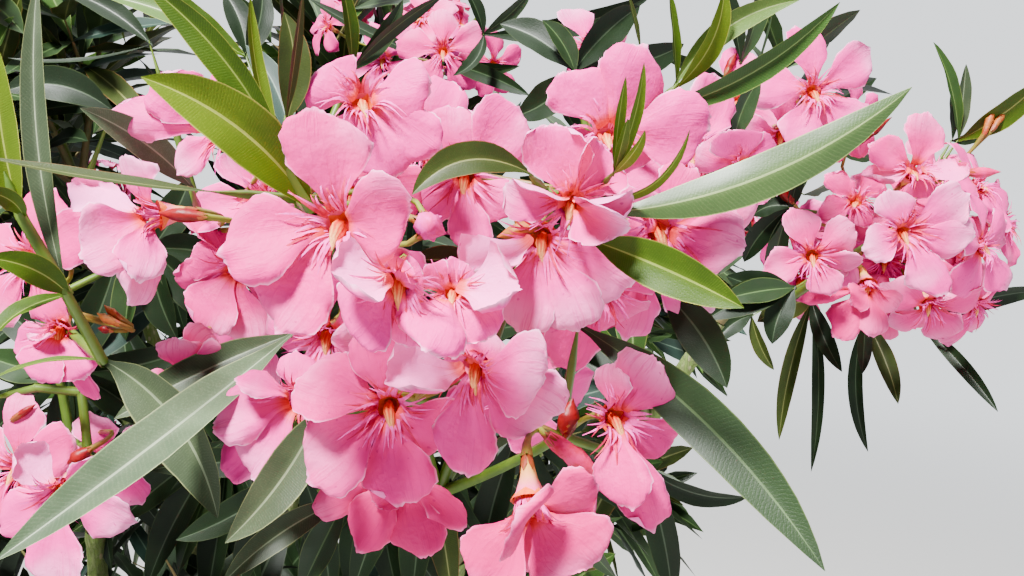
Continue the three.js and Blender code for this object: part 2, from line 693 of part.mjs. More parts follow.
// One seeded shoot of a mass: a twig bowed up to its aim with whorls of leaves on it, and at its end blooms
// round a knob where it flowers. A bloom or leaf that would leave the space or cross another is skipped.
function growShoot(index, number, from, aim, flowers, behind, others) {
  const mass = masses[massNames[index]];
  const out = aim.clone().sub(middles[index]).normalize();
  const curve = new THREE.QuadraticBezierCurve3(from, mix(from, aim, 0.5).add(v(0, 0, 12)), aim);
  const free = (points) => keepsToSpace(index, points) && clearOfHand(index, points)
    && clearOfLimbs(points, mass.bough)
    && points.every((p) => awayOf(p) > behind);
  if (!free([0.4, 0.6, 0.8, 1].map((t) => curve.getPoint(t)))) return [];
  const blooms = [];
  if (flowers) {
    const [side, up] = acrossOf(out);
    for (let b = 0; b < 3; b += 1) {
      const tilt = 0.92;
      const turn = b * 2.0944 + 6.283 * chance(mass.seed, number, 4);
      const face = out.clone().multiplyScalar(Math.cos(tilt))
        .addScaledVector(side, Math.sin(tilt) * Math.cos(turn))
        .addScaledVector(up, Math.sin(tilt) * Math.sin(turn));
      const at = aim.clone().addScaledVector(face, 35);
      const roll = 72 * chance(mass.seed, number, b, 5);
      const made = bloom(at, face, bloomSize, roll, aim.clone().addScaledVector(face, 1.5));
      if (free(petalOutline(at, face, bloomSize, roll, 2)) && !crosses(made, others)) blooms.push(made);
    }
  }
  const firstTurn = 6.283 * chance(mass.seed, number, 1);
  const plainRing = (t, shift, turn, radius) => [0, 1, 2].map((k) => {
    const along = curve.getTangent(t);
    const [side, up] = acrossOf(along);
    const a = turn + k * 2.0944;
    return [curve.getPoint(t).addScaledVector(along, shift)
      .addScaledVector(side, radius * Math.cos(a)).addScaledVector(up, radius * Math.sin(a))];
  });
  const rings = [plainRing(0, 0, firstTurn, twigRadius)];
  const stations = flowers ? [0.34, 0.66] : [0.34, 0.66, 0.96];
  stations.forEach((t, w) => {
    const at = curve.getPoint(t);
    const along = curve.getTangent(t);
    const [side, up] = acrossOf(along);
    const round = (a) => side.clone().multiplyScalar(Math.cos(a)).addScaledVector(up, Math.sin(a));
    const radius = twigRadius + (stalkRadius - twigRadius) * t;
    const sectors = [0, 1, 2].map((k) => {
      const turn = firstTurn + w * 1.0472 + k * 2.0944;
      const notch = at.clone().addScaledVector(round(turn - 1.0472), radius * 1.3);
      for (let attempt = 0; attempt < 3; attempt += 1) {
        const luck = (kind) => chance(mass.seed, number, w, k, kind, attempt);
        const spread = THREE.MathUtils.degToRad(76 - 40 * t + 24 * luck(2));
        const way = along.clone().multiplyScalar(Math.cos(spread))
          .addScaledVector(round(turn + 0.5 * luck(6) - 0.25), Math.sin(spread));
        const length = leafLength * (0.8 + 0.3 * luck(3));
        const tip = at.clone().addScaledVector(way, length).add(v(0, 0, -0.24 * length * (1.2 - t)));
        const across = along.clone().cross(tip.clone().sub(at)).normalize();
        const test = leaf(mix(at, tip, 0.12), tip, along, leafWidth);
        if (free(leafReach(at, tip, across, leafWidth)) && !crosses(test, [...others, ...blooms])) {
          const half = mix(at, tip, 0.45);
          return [notch, half.clone().addScaledVector(across, -leafWidth / 2), tip,
            half.clone().addScaledVector(across, leafWidth / 2)];
        }
      }
      return [notch];
    });
    const turn = firstTurn + w * 1.0472;
    rings.push(plainRing(t, -3, turn, radius), sectors, plainRing(t, 3, turn, radius));
  });
  if (blooms.length) rings.push(plainRing(1, 0, firstTurn, stalkRadius));
  const twigs = [leafyTwig(rings)];
  return blooms.length ? [...twigs, knob(aim), ...blooms] : twigs;
}

// The aims of a mass's seeded shoots: spread evenly over the side of it that faces away from the heart.
function shootAims(mass) {
  const centre = v(...mass.middle);
  const out = centre.clone().sub(crownHeart).normalize();
  const [side, up] = acrossOf(out);
  const aims = [];
  for (let s = 0; s < mass.shoots; s += 1) {
    const cos = 1 - 1.35 * (s + 0.5) / mass.shoots;
    const sin = Math.sqrt(1 - cos * cos);
    const turn = s * goldenTurn + 0.6;
    aims.push(centre.clone().addScaledVector(out, cos * mass.reach)
      .addScaledVector(side, sin * mass.reach * Math.cos(turn))
      .addScaledVector(up, sin * mass.reach * Math.sin(turn)));
  }
  return aims;
}

// A cluster laid out by hand, on its twig from the fork of the mass.
function growCluster(cluster, start) {
  const hub = seen(cluster.hub.x, cluster.hub.y, cluster.hub.away);
  const way = new THREE.QuadraticBezierCurve3(start, mix(start, hub, 0.6).add(v(0, 8, -6)), hub);
  const grown = [limb(way, 2, 3, twigRadius, stalkRadius), knob(hub)];
  for (const b of cluster.blooms) {
    const at = seen(b.x, b.y, b.away);
    const from = hub.clone().add(at.clone().sub(hub).setLength(1.5));
    grown.push(bloom(at, facing(b.turn, b.lift), b.size, b.roll, from, 3));
  }
  for (const sprig of cluster.sprigs) {
    const points = [hub, ...sprig.points.map((p) => seen(p.x, p.y, p.away))];
    const rings = points.map((p, i) => {
      if (!i) return [hub.clone().add(points[1].clone().sub(hub).setLength(1.5))];
      const along = points[Math.min(i + 1, points.length - 1)].clone().sub(points[i - 1]);
      const [side, up] = acrossOf(along.normalize(), v(0.3, 0.2, 1));
      return [0, 1, 2].map((k) => p.clone().addScaledVector(side, 1.8 * Math.cos(k * 2.0944))
        .addScaledVector(up, 1.8 * Math.sin(k * 2.0944)));
    });
    grown.push(loft(rings));
    for (const [i, p] of points.slice(1).entries()) {
      if (sprig.leaves.filter((l) => l.on === i).length > 1) grown.push(knob(p, 2.8));
    }
    for (const l of sprig.leaves) {
      const from = points[l.on + 1];
      const tip = seen(l.x, l.y, l.away);
      const axis = tip.clone().sub(from).normalize();
      const upright = axis.clone().cross(toViewer).normalize();
      if (upright.dot(toUp) < 0) upright.negate();
      const blade = toViewer.clone().applyAxisAngle(axis, THREE.MathUtils.degToRad(l.tip));
      const stations = Math.abs(l.bow) < 5 ? [0.45] : [0.3, 0.7];
      grown.push(leaf(from.clone().addScaledVector(axis, -1.2), tip, blade, l.wide,
        upright.multiplyScalar(l.bow), stations));
    }
  }
  return grown;
}

function growMass(name) {
  const mass = masses[name];
  const index = massNames.indexOf(name);
  const root = rootOf(name);
  const fork = root.getPoint(1);
  const own = clusters.filter((cluster) => cluster.mass === name);
  const behind = own.length ? Math.max(...own.map((cluster) => cluster.hub.away)) + behindHub : 0;
  const grown = [limb(root, 2, 4, boughRadius[1] * 0.95, twigRadius), knob(fork, 6)];
  own.forEach((cluster) => grown.push(...growCluster(cluster, fork)));
  shootAims(mass).forEach((aim, s) => {
    const from = fork.clone().add(aim.clone().sub(fork).setLength(2));
    grown.push(...growShoot(index, s, from, aim, s < mass.flowering, behind, grown.slice(2)));
  });
  const bodies = grown.reduce((sum, piece) => sum.add(piece)).decompose();
  return bodies.sort((a, b) => b.volume() - a.volume())[0];
}

// Meshes and their colours
const terracotta = new THREE.MeshStandardMaterial({ color: 0xb5694a, roughness: 0.85 });
const compost = new THREE.MeshStandardMaterial({ color: 0x3a2a1f, roughness: 1 });
const bark = new THREE.MeshStandardMaterial({ color: 0x7d7263, roughness: 0.9 });
const greenWood = new THREE.MeshStandardMaterial({ color: 0x6f7d4a, roughness: 0.8 });
const foliage = new THREE.MeshStandardMaterial({ color: 0x4c7a3c, roughness: 0.55 });
const flowering = new THREE.MeshStandardMaterial({ color: 0xe88fb0, roughness: 0.6 });

function meshFrom(name, solid, material, at = v(0, 0, 0)) {
  const { vertProperties, triVerts } = solid.getMesh();
  const geometry = new THREE.BufferGeometry();
  geometry.setAttribute('position', new THREE.BufferAttribute(vertProperties, 3));
  geometry.setIndex(new THREE.BufferAttribute(triVerts, 1));
  geometry.translate(-at.x, -at.y, -at.z);
  const mesh = new THREE.Mesh(geometry, material);
  mesh.name = name;
  mesh.position.copy(at);
  return mesh;
}

// A turned shape about the plant's upright axis.
function turned(name, profile, material) {
  const geometry = new THREE.LatheGeometry(profile.map(([r, z]) => new THREE.Vector2(r, z)), potSides);
  geometry.rotateX(Math.PI / 2);
  geometry.deleteAttribute('normal');
  geometry.deleteAttribute('uv');
  const mesh = new THREE.Mesh(mergeVertices(geometry, 1e-4), material);
  mesh.name = name;
  return mesh;
}

const wallAt = (z) => potFoot + (potMouth - potFoot) * z / potHeight;

function makePot() {
  const rimFoot = potHeight - rimHeight;
  return turned('pot', [
    [0, 0], [potFoot - 3, 0], [wallAt(0), 3], [wallAt(rimFoot), rimFoot],
    [wallAt(rimFoot) + rimProud, rimFoot + 5], [wallAt(potHeight) + rimProud, potHeight - 5],
    [wallAt(potHeight) + rimProud - 5, potHeight], [wallAt(potHeight) - potWall, potHeight],
    [wallAt(potWall) - potWall, potWall], [0, potWall],
  ], terracotta);
}

function makeCompost() {
  const bottom = potWall + clear;
  const inner = (z) => wallAt(z) - potWall - clear;
  return turned('compost', [
    [0, bottom], [inner(bottom), bottom], [inner(soilLevel - 7), soilLevel - 7],
    [inner(soilLevel) - 22, soilLevel], [0, soilLevel],
  ], compost);
}

function makeStem(name) {
  const [wide, narrow] = stems[name].radius;
  return limb(stemCurve(name), 6, 8, wide, narrow, 7);
}

// A bough, cut clear of the stem that it leaves.
function makeBough(name) {
  const { stem } = boughs[name];
  const [wide, narrow] = stems[stem].radius;
  const grown = limb(stemCurve(stem), 6, 8, wide + clear, narrow + clear, 7);
  const tip = stemCurve(stem);
  const over = tip.getPoint(1).addScaledVector(tip.getTangent(1), clear);
  const cap = limb(new THREE.LineCurve3(tip.getPoint(1), over), 1, 8, narrow + clear, narrow + clear);
  const made = limb(boughCurve(name), 3, 6, ...boughRadius).subtract(grown).subtract(cap);
  return made.decompose().sort((a, b) => b.volume() - a.volume())[0];
}

const plant = new THREE.Group();
plant.name = 'potted_oleander';
const pot = new THREE.Group();
pot.add(makePot(), makeCompost());
const wood = new THREE.Group();
for (const name of Object.keys(stems)) wood.add(meshFrom(name, makeStem(name), bark));
for (const name of Object.keys(boughs)) wood.add(meshFrom(name, makeBough(name), greenWood));
const crown = new THREE.Group();
for (const name of massNames) {
  const floral = masses[name].flowering || clusters.some((cluster) => cluster.mass === name);
  crown.add(meshFrom(name, growMass(name), floral ? flowering : foliage, v(...masses[name].middle)));
}
plant.add(pot, wood, crown);

export default plant;
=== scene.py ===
# A pink oleander in a terracotta pot: bark, leaves, blossom, compost and clay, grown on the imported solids.
import json
import math

import bmesh
import bpy
import numpy as np
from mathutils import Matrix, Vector, noise

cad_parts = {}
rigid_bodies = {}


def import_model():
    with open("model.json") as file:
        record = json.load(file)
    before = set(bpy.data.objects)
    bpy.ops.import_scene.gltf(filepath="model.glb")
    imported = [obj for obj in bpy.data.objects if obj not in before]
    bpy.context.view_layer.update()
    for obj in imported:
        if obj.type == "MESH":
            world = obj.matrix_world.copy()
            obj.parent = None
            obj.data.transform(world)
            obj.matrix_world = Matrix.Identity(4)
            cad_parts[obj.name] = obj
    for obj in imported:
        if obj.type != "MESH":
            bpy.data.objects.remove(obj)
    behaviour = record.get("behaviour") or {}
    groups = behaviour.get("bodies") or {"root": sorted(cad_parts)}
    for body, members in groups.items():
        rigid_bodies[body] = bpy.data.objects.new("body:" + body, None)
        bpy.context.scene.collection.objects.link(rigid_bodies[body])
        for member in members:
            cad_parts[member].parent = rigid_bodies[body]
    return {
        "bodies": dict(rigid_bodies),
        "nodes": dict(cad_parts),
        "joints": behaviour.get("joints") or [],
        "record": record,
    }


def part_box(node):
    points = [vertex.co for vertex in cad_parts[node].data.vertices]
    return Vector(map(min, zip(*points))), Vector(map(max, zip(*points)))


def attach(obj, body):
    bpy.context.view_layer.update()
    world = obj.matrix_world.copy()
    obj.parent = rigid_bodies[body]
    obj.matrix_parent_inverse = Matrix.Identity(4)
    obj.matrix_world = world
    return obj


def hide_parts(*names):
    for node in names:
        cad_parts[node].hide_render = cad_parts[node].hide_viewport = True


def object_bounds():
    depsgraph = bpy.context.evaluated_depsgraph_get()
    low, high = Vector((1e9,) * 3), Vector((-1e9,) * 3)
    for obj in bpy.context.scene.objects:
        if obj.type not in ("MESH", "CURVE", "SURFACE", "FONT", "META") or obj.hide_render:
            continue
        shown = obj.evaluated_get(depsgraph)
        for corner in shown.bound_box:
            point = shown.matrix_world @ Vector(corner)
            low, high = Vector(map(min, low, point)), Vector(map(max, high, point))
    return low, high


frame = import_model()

cadBox = [list(corner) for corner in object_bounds()]
mm = 0.001

# The camera, and the picture's own way of giving places: 1024 by 576 units and the distance away in mm
viewpoint = {
    "eye": (190.0, -600.0, 1130.0),
    "down": 8.0,  # degrees below level
    "lens": 30.0,
    "sensor": 36.0,
    "focus": 853.0,  # picture units for one unit sideways at one unit away
    "middle": (512.0, 288.0),
}
eye = np.array(viewpoint["eye"])
down = math.radians(viewpoint["down"])
toRight = np.array([1.0, 0.0, 0.0])
toUp = np.array([0.0, math.sin(down), math.cos(down)])
toViewer = np.array([0.0, -math.cos(down), math.sin(down)])


def makeCamera():
    data = bpy.data.cameras.new("viewCamera")
    data.lens = viewpoint["lens"]
    data.sensor_width = viewpoint["sensor"]
    data.clip_start = 0.02
    camera = bpy.data.objects.new("viewCamera", data)
    camera.location = eye * mm
    camera.rotation_euler = (math.radians(90 - viewpoint["down"]), 0, 0)
    bpy.context.scene.collection.objects.link(camera)
    bpy.context.scene.camera = camera


makeCamera()
print("camera placed")


def seen(x, y, away):
    right = (x - viewpoint["middle"][0]) / viewpoint["focus"] * away
    up = (viewpoint["middle"][1] - y) / viewpoint["focus"] * away
    return eye + toRight * right + toUp * up - toViewer * away


# The way a bloom opens: turned to the right and lifted from facing the viewer, in degrees
def facing(turn, lift):
    a, b = math.radians(turn), math.radians(lift)
    return (toRight * math.sin(a) * math.cos(b) + toUp * math.sin(b)
            + toViewer * math.cos(a) * math.cos(b))


hashing = {"start": 2166136261, "step": 16777619, "finish": ((2246822519, 15), (3266489917, 16))}


# A number from 0 to 1 that depends only on the whole numbers it is given
def chance(*keys):
    h = hashing["start"]
    for key in keys:
        h = ((h ^ int(key)) * hashing["step"]) & 0xffffffff
        h ^= h >> 13
    for factor, shift in hashing["finish"]:
        h = (h * factor) & 0xffffffff
        h ^= h >> shift
    return h / 2 ** 32


fullTurn, thirdTurn, fifthTurn, sixthTurn = 6.283, 2.0944, 1.2566, 1.0472
goldenTurn = 2.39996
upright = np.array([0.0, 0.0, 1.0])


def unit(a):
    return a / max(np.linalg.norm(a), 1e-9)


def unitRows(rows):
    return rows / np.maximum(np.linalg.norm(rows, axis=-1, keepdims=True), 1e-9)


def mixed(a, b, t):
    return a + (b - a) * t


# Two directions square to an axis, the second one as upright as it can be
def acrossOf(axis):
    side = np.cross(upright, axis)
    if np.linalg.norm(side) < 1e-3:
        side = toRight
    side = unit(side)
    return side, unit(np.cross(axis, side))


def around(side, up, turn):
    return side * math.cos(turn) + up * math.sin(turn)


# A direction that leans off an axis by tilt, to the side that turn gives
def leaned(axis, side, up, tilt, turn):
    return axis * math.cos(tilt) + around(side, up, turn) * math.sin(tilt)


# A curve is three points: where it starts, what bends it and where it ends
def pointOn(curve, t):
    a, b, c = curve
    t = np.asarray(t, float)[..., None]
    return a * (1 - t) ** 2 + b * 2 * t * (1 - t) + c * t ** 2


def alongOf(curve, t):
    a, b, c = curve
    t = np.asarray(t, float)[..., None]
    return unitRows((b - a) * (1 - t) + (c - b) * t)


# The limbs in mm, as in the solids: a stem's foot in the compost, its top, its bow and its radii
soilLevel = 296.0
stems = {
    "front_stem": {"foot": (40, -45), "top": (120, -150, 760), "bow": (14, 6, 0), "radius": (13, 7.5)},
    "back_right_stem": {"foot": (46, 20), "top": (150, 90, 740), "bow": (8, -14, 0), "radius": (12, 7)},
    "back_left_stem": {"foot": (-15, 50), "top": (-80, 150, 720), "bow": (-16, 0, 0), "radius": (12, 7)},
    "left_stem": {"foot": (-52, -5), "top": (-170, -30, 740), "bow": (0, 16, 0), "radius": (12.5, 7)},
    "front_left_stem": {"foot": (-25, -50), "top": (-60, -160, 760), "bow": (-14, 0, 0), "radius": (12, 7)},
    "middle_stem": {"foot": (0, 6), "top": (22, 5, 900), "bow": (10, 12, 0), "radius": (13.5, 7)},
}
# A bough's stem and how far up it leaves it, what bends it, and its tip
boughs = {
    "front_bough": ("front_stem", 0.97, (150, -195, 860), (165, -235, 955)),
    "right_bough": ("front_stem", 0.8, (205, -130, 900), (296, -168, 1052)),
    "upper_right_bough": ("back_right_stem", 0.96, (185, 60, 900), (250, -60, 1080)),
    "back_right_bough": ("back_right_stem", 0.72, (190, 110, 820), (245, 160, 950)),
    "low_back_right_bough": ("back_right_stem", 0.55, (150, 110, 680), (190, 150, 775)),
    "back_left_bough": ("back_left_stem", 0.97, (-130, 165, 830), (-200, 190, 940)),
    "back_bough": ("back_left_stem", 0.8, (-50, 200, 800), (-10, 270, 930)),
    "low_back_left_bough": ("back_left_stem", 0.6, (-100, 170, 700), (-130, 205, 780)),
    "left_bough": ("left_stem", 0.97, (-215, -35, 830), (-270, -50, 930)),
    "low_left_bough": ("left_stem", 0.7, (-180, -70, 700), (-205, -115, 785)),
    "left_front_bough": ("front_left_stem", 0.97, (-20, -190, 860), (-8, -215, 960)),
    "front_left_bough": ("front_left_stem", 0.85, (-105, -205, 830), (-145, -240, 930)),
    "low_front_bough": ("front_left_stem", 0.66, (-15, -160, 730), (18, -180, 810)),
    "top_bough": ("middle_stem", 0.97, (70, 15, 1010), (105, 25, 1100)),
    "top_left_bough": ("middle_stem", 0.86, (-50, 0, 930), (-75, -12, 1060)),
    "top_back_bough": ("middle_stem", 0.76, (40, 60, 900), (48, 105, 1055)),
}
limb = {
    "gap": 0.3,  # mm, between a limb and what carries it
    "bendAt": 0.45,  # how far up a stem its bend is
    "setBack": 5,  # a stem's bend lies a fifth of its sideways run back towards its foot
    "flare": 7.0,  # mm, the widening at a stem's foot
    "setIn": 4.0,  # mm, how deep a stem's foot stands in the compost
    "boughRadius": (6.2, 4.2),
    "boughCollar": 2.2,
    "barkRelief": 0.75,
    "scarEvery": 46.0,  # mm between the ring scars of old whorls
    "boughScarEvery": 30.0,
    "scarRelief": 0.9,
    "scarWide": 2.2,
}


def stemCurve(name):
    stem = stems[name]
    a = np.array([*stem["foot"], soilLevel + limb["gap"]], float)
    c = np.array(stem["top"], float)
    bend = mixed(a, c, limb["bendAt"]) + np.array(stem["bow"], float)
    bend[:2] += (a[:2] - c[:2]) / limb["setBack"]
    return a, bend, c


def boughCurve(name):
    stem, at, bend, tip = boughs[name]
    return pointOn(stemCurve(stem), at), np.array(bend, float), np.array(tip, float)


# Stock shapes, made once and bent for each place
def stockMesh(name, bm):
    mesh = bpy.data.meshes.new(name + "Stock")
    bm.to_mesh(mesh)
    bm.free()
    co = np.zeros(len(mesh.vertices) * 3, np.float32)
    mesh.vertices.foreach_get("co", co)
    return mesh, co.reshape(-1, 3)


# A flat grid: s runs from -1 to 1 across it and t from 0 to 1 along it. With a midrib, its columns are an odd
# count and the middle one is narrow, with a finish of its own.
def gridStock(name, columns, rows, midribWide=None):
    bm = bmesh.new()
    bmesh.ops.create_grid(bm, x_segments=columns, y_segments=rows, size=0.5)
    if midribWide:
        inner = midribWide / 2
        half = (columns - 1) // 2
        marks = [-0.5 + (0.5 - inner) * i / half for i in range(half + 1)]
        marks += [-m for m in reversed(marks)]
        for vert in bm.verts:
            vert.co.x = marks[round((vert.co.x + 0.5) * columns)]
        for face in bm.faces:
            face.material_index = int(abs(face.calc_center_median().x) < inner)
    bmesh.ops.reverse_faces(bm, faces=bm.faces)  # so that the upper side faces out once it is shaped
    layer = bm.loops.layers.uv.new("map")
    for face in bm.faces:
        face.smooth = True
        for loop in face.loops:
            loop[layer].uv = (loop.vert.co.x + 0.5, loop.vert.co.y + 0.5)
    mesh, co = stockMesh(name, bm)
    co = co.astype(float)
    return {"mesh": mesh, "s": co[:, 0] * 2, "t": co[:, 1] + 0.5, "zones": 2 if midribWide else 1}


def turnOf(co):
    return math.atan2(co.y, co.x) / (2 * math.pi) % 1.0


# A tube, drawn out ring by ring. What shapes it closes it to a point or leaves it open.
def tubeStock(name, sides, steps):
    bm = bmesh.new()
    bmesh.ops.create_circle(bm, cap_ends=False, segments=sides, radius=1.0)
    edges = bm.edges[:]
    for _ in range(steps):
        grown = bmesh.ops.extrude_edge_only(bm, edges=edges)["geom"]
        verts = {g for g in grown if isinstance(g, bmesh.types.BMVert)}
        edges = [g for g in grown if isinstance(g, bmesh.types.BMEdge) and set(g.verts) <= verts]
        bmesh.ops.translate(bm, verts=list(verts), vec=(0, 0, 1))
    bmesh.ops.recalc_face_normals(bm, faces=bm.faces)
    layer = bm.loops.layers.uv.new("map")
    for face in bm.faces:
        face.smooth = True
        turns = [turnOf(vert.co) for vert in face.verts]
        seam = max(turns) - min(turns) > 0.5
        for loop in face.loops:
            turn = turnOf(loop.vert.co)
            loop[layer].uv = (turn + 1.0 if seam and turn < 0.5 else turn, loop.vert.co.z / steps)
    mesh, co = stockMesh(name, bm)
    first = mesh.polygons[0]
    if first.normal.dot(first.center.to_2d().to_3d()) <= 0:
        mesh.flip_normals()
    return {"mesh": mesh, "ring": np.rint(co[:, 2]).astype(int), "steps": steps, "zones": 1,
            "angle": np.arctan2(co[:, 1], co[:, 0]).astype(float)}


def tubeShape(stock, curve, radii, spiral=0.0, lobes=0, lobeDeep=0.0):
    marks = np.linspace(0, 1, stock["steps"] + 1)
    centres, runs = pointOn(curve, marks), alongOf(curve, marks)
    hint = np.eye(3)[int(np.argmin(np.abs(curve[2] - curve[0])))]
    sides = unitRows(np.cross(hint, runs))
    ups = np.cross(runs, sides)
    wide = np.interp(marks, np.linspace(0, 1, len(radii)), radii)
    ring = stock["ring"]
    a = stock["angle"] + spiral * marks[ring]
    r = wide[ring] * (1 + lobeDeep * np.cos(lobes * stock["angle"]))
    return centres[ring] + sides[ring] * (r * np.cos(a))[:, None] + ups[ring] * (r * np.sin(a))[:, None]


# A strip's middle line and its two directions across, turned about it by an angle at each point
def stripFrame(curve, t, face, angle):
    centre, run = pointOn(curve, t), alongOf(curve, t)
    side = unitRows(np.cross(face, run))
    up = np.cross(run, side)
    c, d = np.cos(angle)[:, None], np.sin(angle)[:, None]
    return centre, side * c + up * d, up * c - side * d


leafForm = {
    "t": (0, 0.04, 0.09, 0.16, 0.28, 0.42, 0.55, 0.68, 0.8, 0.9, 0.96, 1.0),  # how far along the blade
    "w": (0.09, 0.11, 0.24, 0.5, 0.82, 0.99, 1.0, 0.9, 0.7, 0.42, 0.2, 0.01),  # of the full width, there
    "turnsAt": 0.3,  # the place along the blade that it turns about
    "waves": 17.0,
    "apart": 2.2,  # how far the waves of one edge run ahead of the other's
    "phases": 6.3,  # the span of where a leaf's waves may start
}


# A leaf from its foot to its tip, its edges a little raised and wavy, turning a little along its length
def leafShape(stock, curve, face, wide, rise, wave, turn=0.0, phase=0.0):
    s, t = stock["s"], stock["t"]
    centre, side, up = stripFrame(curve, t, face, turn * (t - leafForm["turnsAt"]))
    half = wide / 2 * np.interp(t, leafForm["t"], leafForm["w"])
    ripple = np.sin(phase + leafForm["waves"] * t + leafForm["apart"] * np.sign(s))
    lift = half * (rise * (np.abs(s) ** 1.2) + wave * ripple * s ** 2)
    return centre + side * (s * half)[:, None] + up * lift[:, None]


# A strand of the fringe, narrowing to its end
def strandShape(stock, curve, face, wide, turn):
    s, t = stock["s"], stock["t"]
    centre, side, _ = stripFrame(curve, t, face, turn + 0.5 * t)
    half = wide / 2 * (1 - t) ** 0.8 + 0.06
    return centre + side * (s * half)[:, None]


petal = {
    "long": 0.53,  # of the bloom's size across
    "wide": 0.41,
    "t": (0, 0.1, 0.2, 0.3, 0.4, 0.5, 0.6, 0.7, 0.8, 0.9, 0.96, 1.0),  # how far along the petal
    "w": (0.20, 0.23, 0.32, 0.48, 0.70, 0.88, 0.98, 1.0, 0.95, 0.85, 0.72, 0.50),  # of its width, there
    "steps": 40,  # of its middle line
    "clawAt": (0.11, -0.10),  # the foot of a petal of length 1, out from the bloom's middle and up
    "clawSteep": 1.1,  # radians by which it stands up out of the throat
    "clawSoft": 0.07,  # how far along it has mostly laid itself over
    "ruffle": 0.045,  # of the petal's length
    "ruffles": ((0.8, 3.6), (0.35, 9.5)),  # each wave's share and how often it comes round the rim
    "hem": 0.10,  # how far the outermost rim rolls back
    "scallop": 0.028,
    "scallops": ((1.1, 9.0), (0.9, 23.0)),
    "pleat": 0.024,
    "cup": 0.13,  # how far one edge lies higher than the other, of half the width
    "usual": (0, 0.5, None),  # a laid petal's turn, roll-back and fold where its row leaves them out
}
# How a bloom holds its petals: lean forward in degrees, roll-back of the tips in radians, and fold
petalHolds = {
    "open": ((-5, 15), (0.2, 0.8), 0.10),
    "loose": ((-12, 30), (0.1, 1.2), 0.20),
}


# The middle line of a petal of length 1, from its claw outwards, as distance out and rise
def petalSpine(lean, curl):
    steps = petal["steps"]
    marks = np.linspace(0, 1, steps + 1)
    slope = lean + petal["clawSteep"] * np.exp(-marks / petal["clawSoft"]) - curl * marks ** 2.2
    out = petal["clawAt"][0] + np.concatenate([[0], np.cumsum(np.cos(slope[:-1]))]) / steps
    rise = petal["clawAt"][1] + np.concatenate([[0], np.cumsum(np.sin(slope[:-1]))]) / steps
    return marks, slope, out, rise


def waved(waves, q, phases):
    return sum(share * np.sin(often * q + phase) for (share, often), phase in zip(waves, phases))


# One petal on its middle line: narrow claw, spreading blade, slanting scalloped end and a rim that rolls back
def petalShape(stock, at, frame, long, wide, spine, fold, luck):
    s, t = stock["s"], stock["t"]
    radial, tangent, normal = frame
    marks, slope, out, rise = spine
    q = np.arctan2(s * wide * 0.5, (t - 0.5) * long)
    p = [fullTurn * luck(k) for k in (11, 12, 13, 14, 15)]
    edge = np.clip((np.maximum(np.abs(s), (t - 0.45) * 1.82) - 0.45) / 0.55, 0, 1)
    edge = edge * np.clip(t * 2.6 - 0.5, 0, 1)
    scallops = 1 + edge ** 3 * petal["scallop"] * waved(petal["scallops"], q, (p[0], p[4]))
    fall = t * (1 - 0.15 * s ** 2 * t ** 2 + 0.045 * s * t ** 2)
    fall = 0.5 + (fall - 0.5) * np.where(t > 0.5, scallops, 1)
    half = wide / 2 * np.interp(t, petal["t"], petal["w"]) * scallops
    r = np.interp(fall, marks, out) + np.maximum(fall - 1, 0) * math.cos(slope[-1])
    z = np.interp(fall, marks, rise) + np.maximum(fall - 1, 0) * math.sin(slope[-1])
    tilt = np.interp(fall, marks, slope)
    ripple = petal["ruffle"] * edge ** 1.5 * waved(petal["ruffles"], q, (p[1], p[2]))
    hem = -petal["hem"] * edge ** 6 * (0.65 + 0.6 * np.sin(2.3 * q + p[3]))
    pleat = petal["pleat"] * np.cos(4.2 * s + p[3]) * 4 * t * (1 - t)
    bowl = fold * s ** 2 * 2 + petal["cup"] * s - 0.10 * np.abs(s) ** 3
    offset = long * (ripple + hem + pleat) + half * bowl
    across = s * half * (1 - 0.3 * abs(fold) * s ** 2 - 0.05 * edge ** 6) + 0.08 * wide * t ** 2
    outward = r * long - offset * np.sin(tilt)
    forward = z * long + offset * np.cos(tilt)
    return at + radial * outward[:, None] + tangent * across[:, None] + normal * forward[:, None]


# A petal that keeps its bloom's own order
def growPetal(kind, at, side, up, face, angle, size, hold, luck):
    leans, curls, folds = petalHolds[hold]
    out = around(side, up, angle)
    frame = (out, up * math.cos(angle) - side * math.sin(angle), face)
    curl = mixed(*curls, luck(4) ** 1.4) + 0.8 * (luck(6) > 0.84)  # a few roll far back
    spine = petalSpine(math.radians(mixed(*leans, luck(3))), curl)
    return petalShape(stock[kind], at, frame, size * petal["long"] * (0.94 + 0.13 * luck(1)),
                      size * petal["wide"] * (0.9 + 0.2 * luck(2)), spine, folds * (2 * luck(5) - 0.8), luck)


# A petal laid out in the picture: its tip's x and y, how much nearer the tip is than the bloom's middle, its
# width, its turn about its own length in degrees, how far it rolls back, and its fold if it has a marked one
def layPetal(kind, at, away, row, luck):
    x, y, nearer, wide, twist, curl, fold = (*row, *petal["usual"][len(row) - 4:])
    run = seen(x, y, away - nearer) - at
    reach = np.linalg.norm(run)
    run = run / reach
    flat = unit(toViewer - run * (toViewer @ run))
    normal = around(flat, np.cross(flat, run), math.radians(twist))
    spine = petalSpine(0.0, curl)
    marks, slope, out, rise = spine
    chord = math.atan2(rise[-1], out[-1])
    frame = (run * math.cos(chord) - normal * math.sin(chord), np.cross(normal, run),
             around(normal, run, chord))
    long = reach / math.hypot(out[-1], rise[-1])
    if fold is None:
        fold = 0.14 * (2 * luck(5) - 0.8)
    return petalShape(stock[kind], at, frame, long, wide, spine, fold, luck)


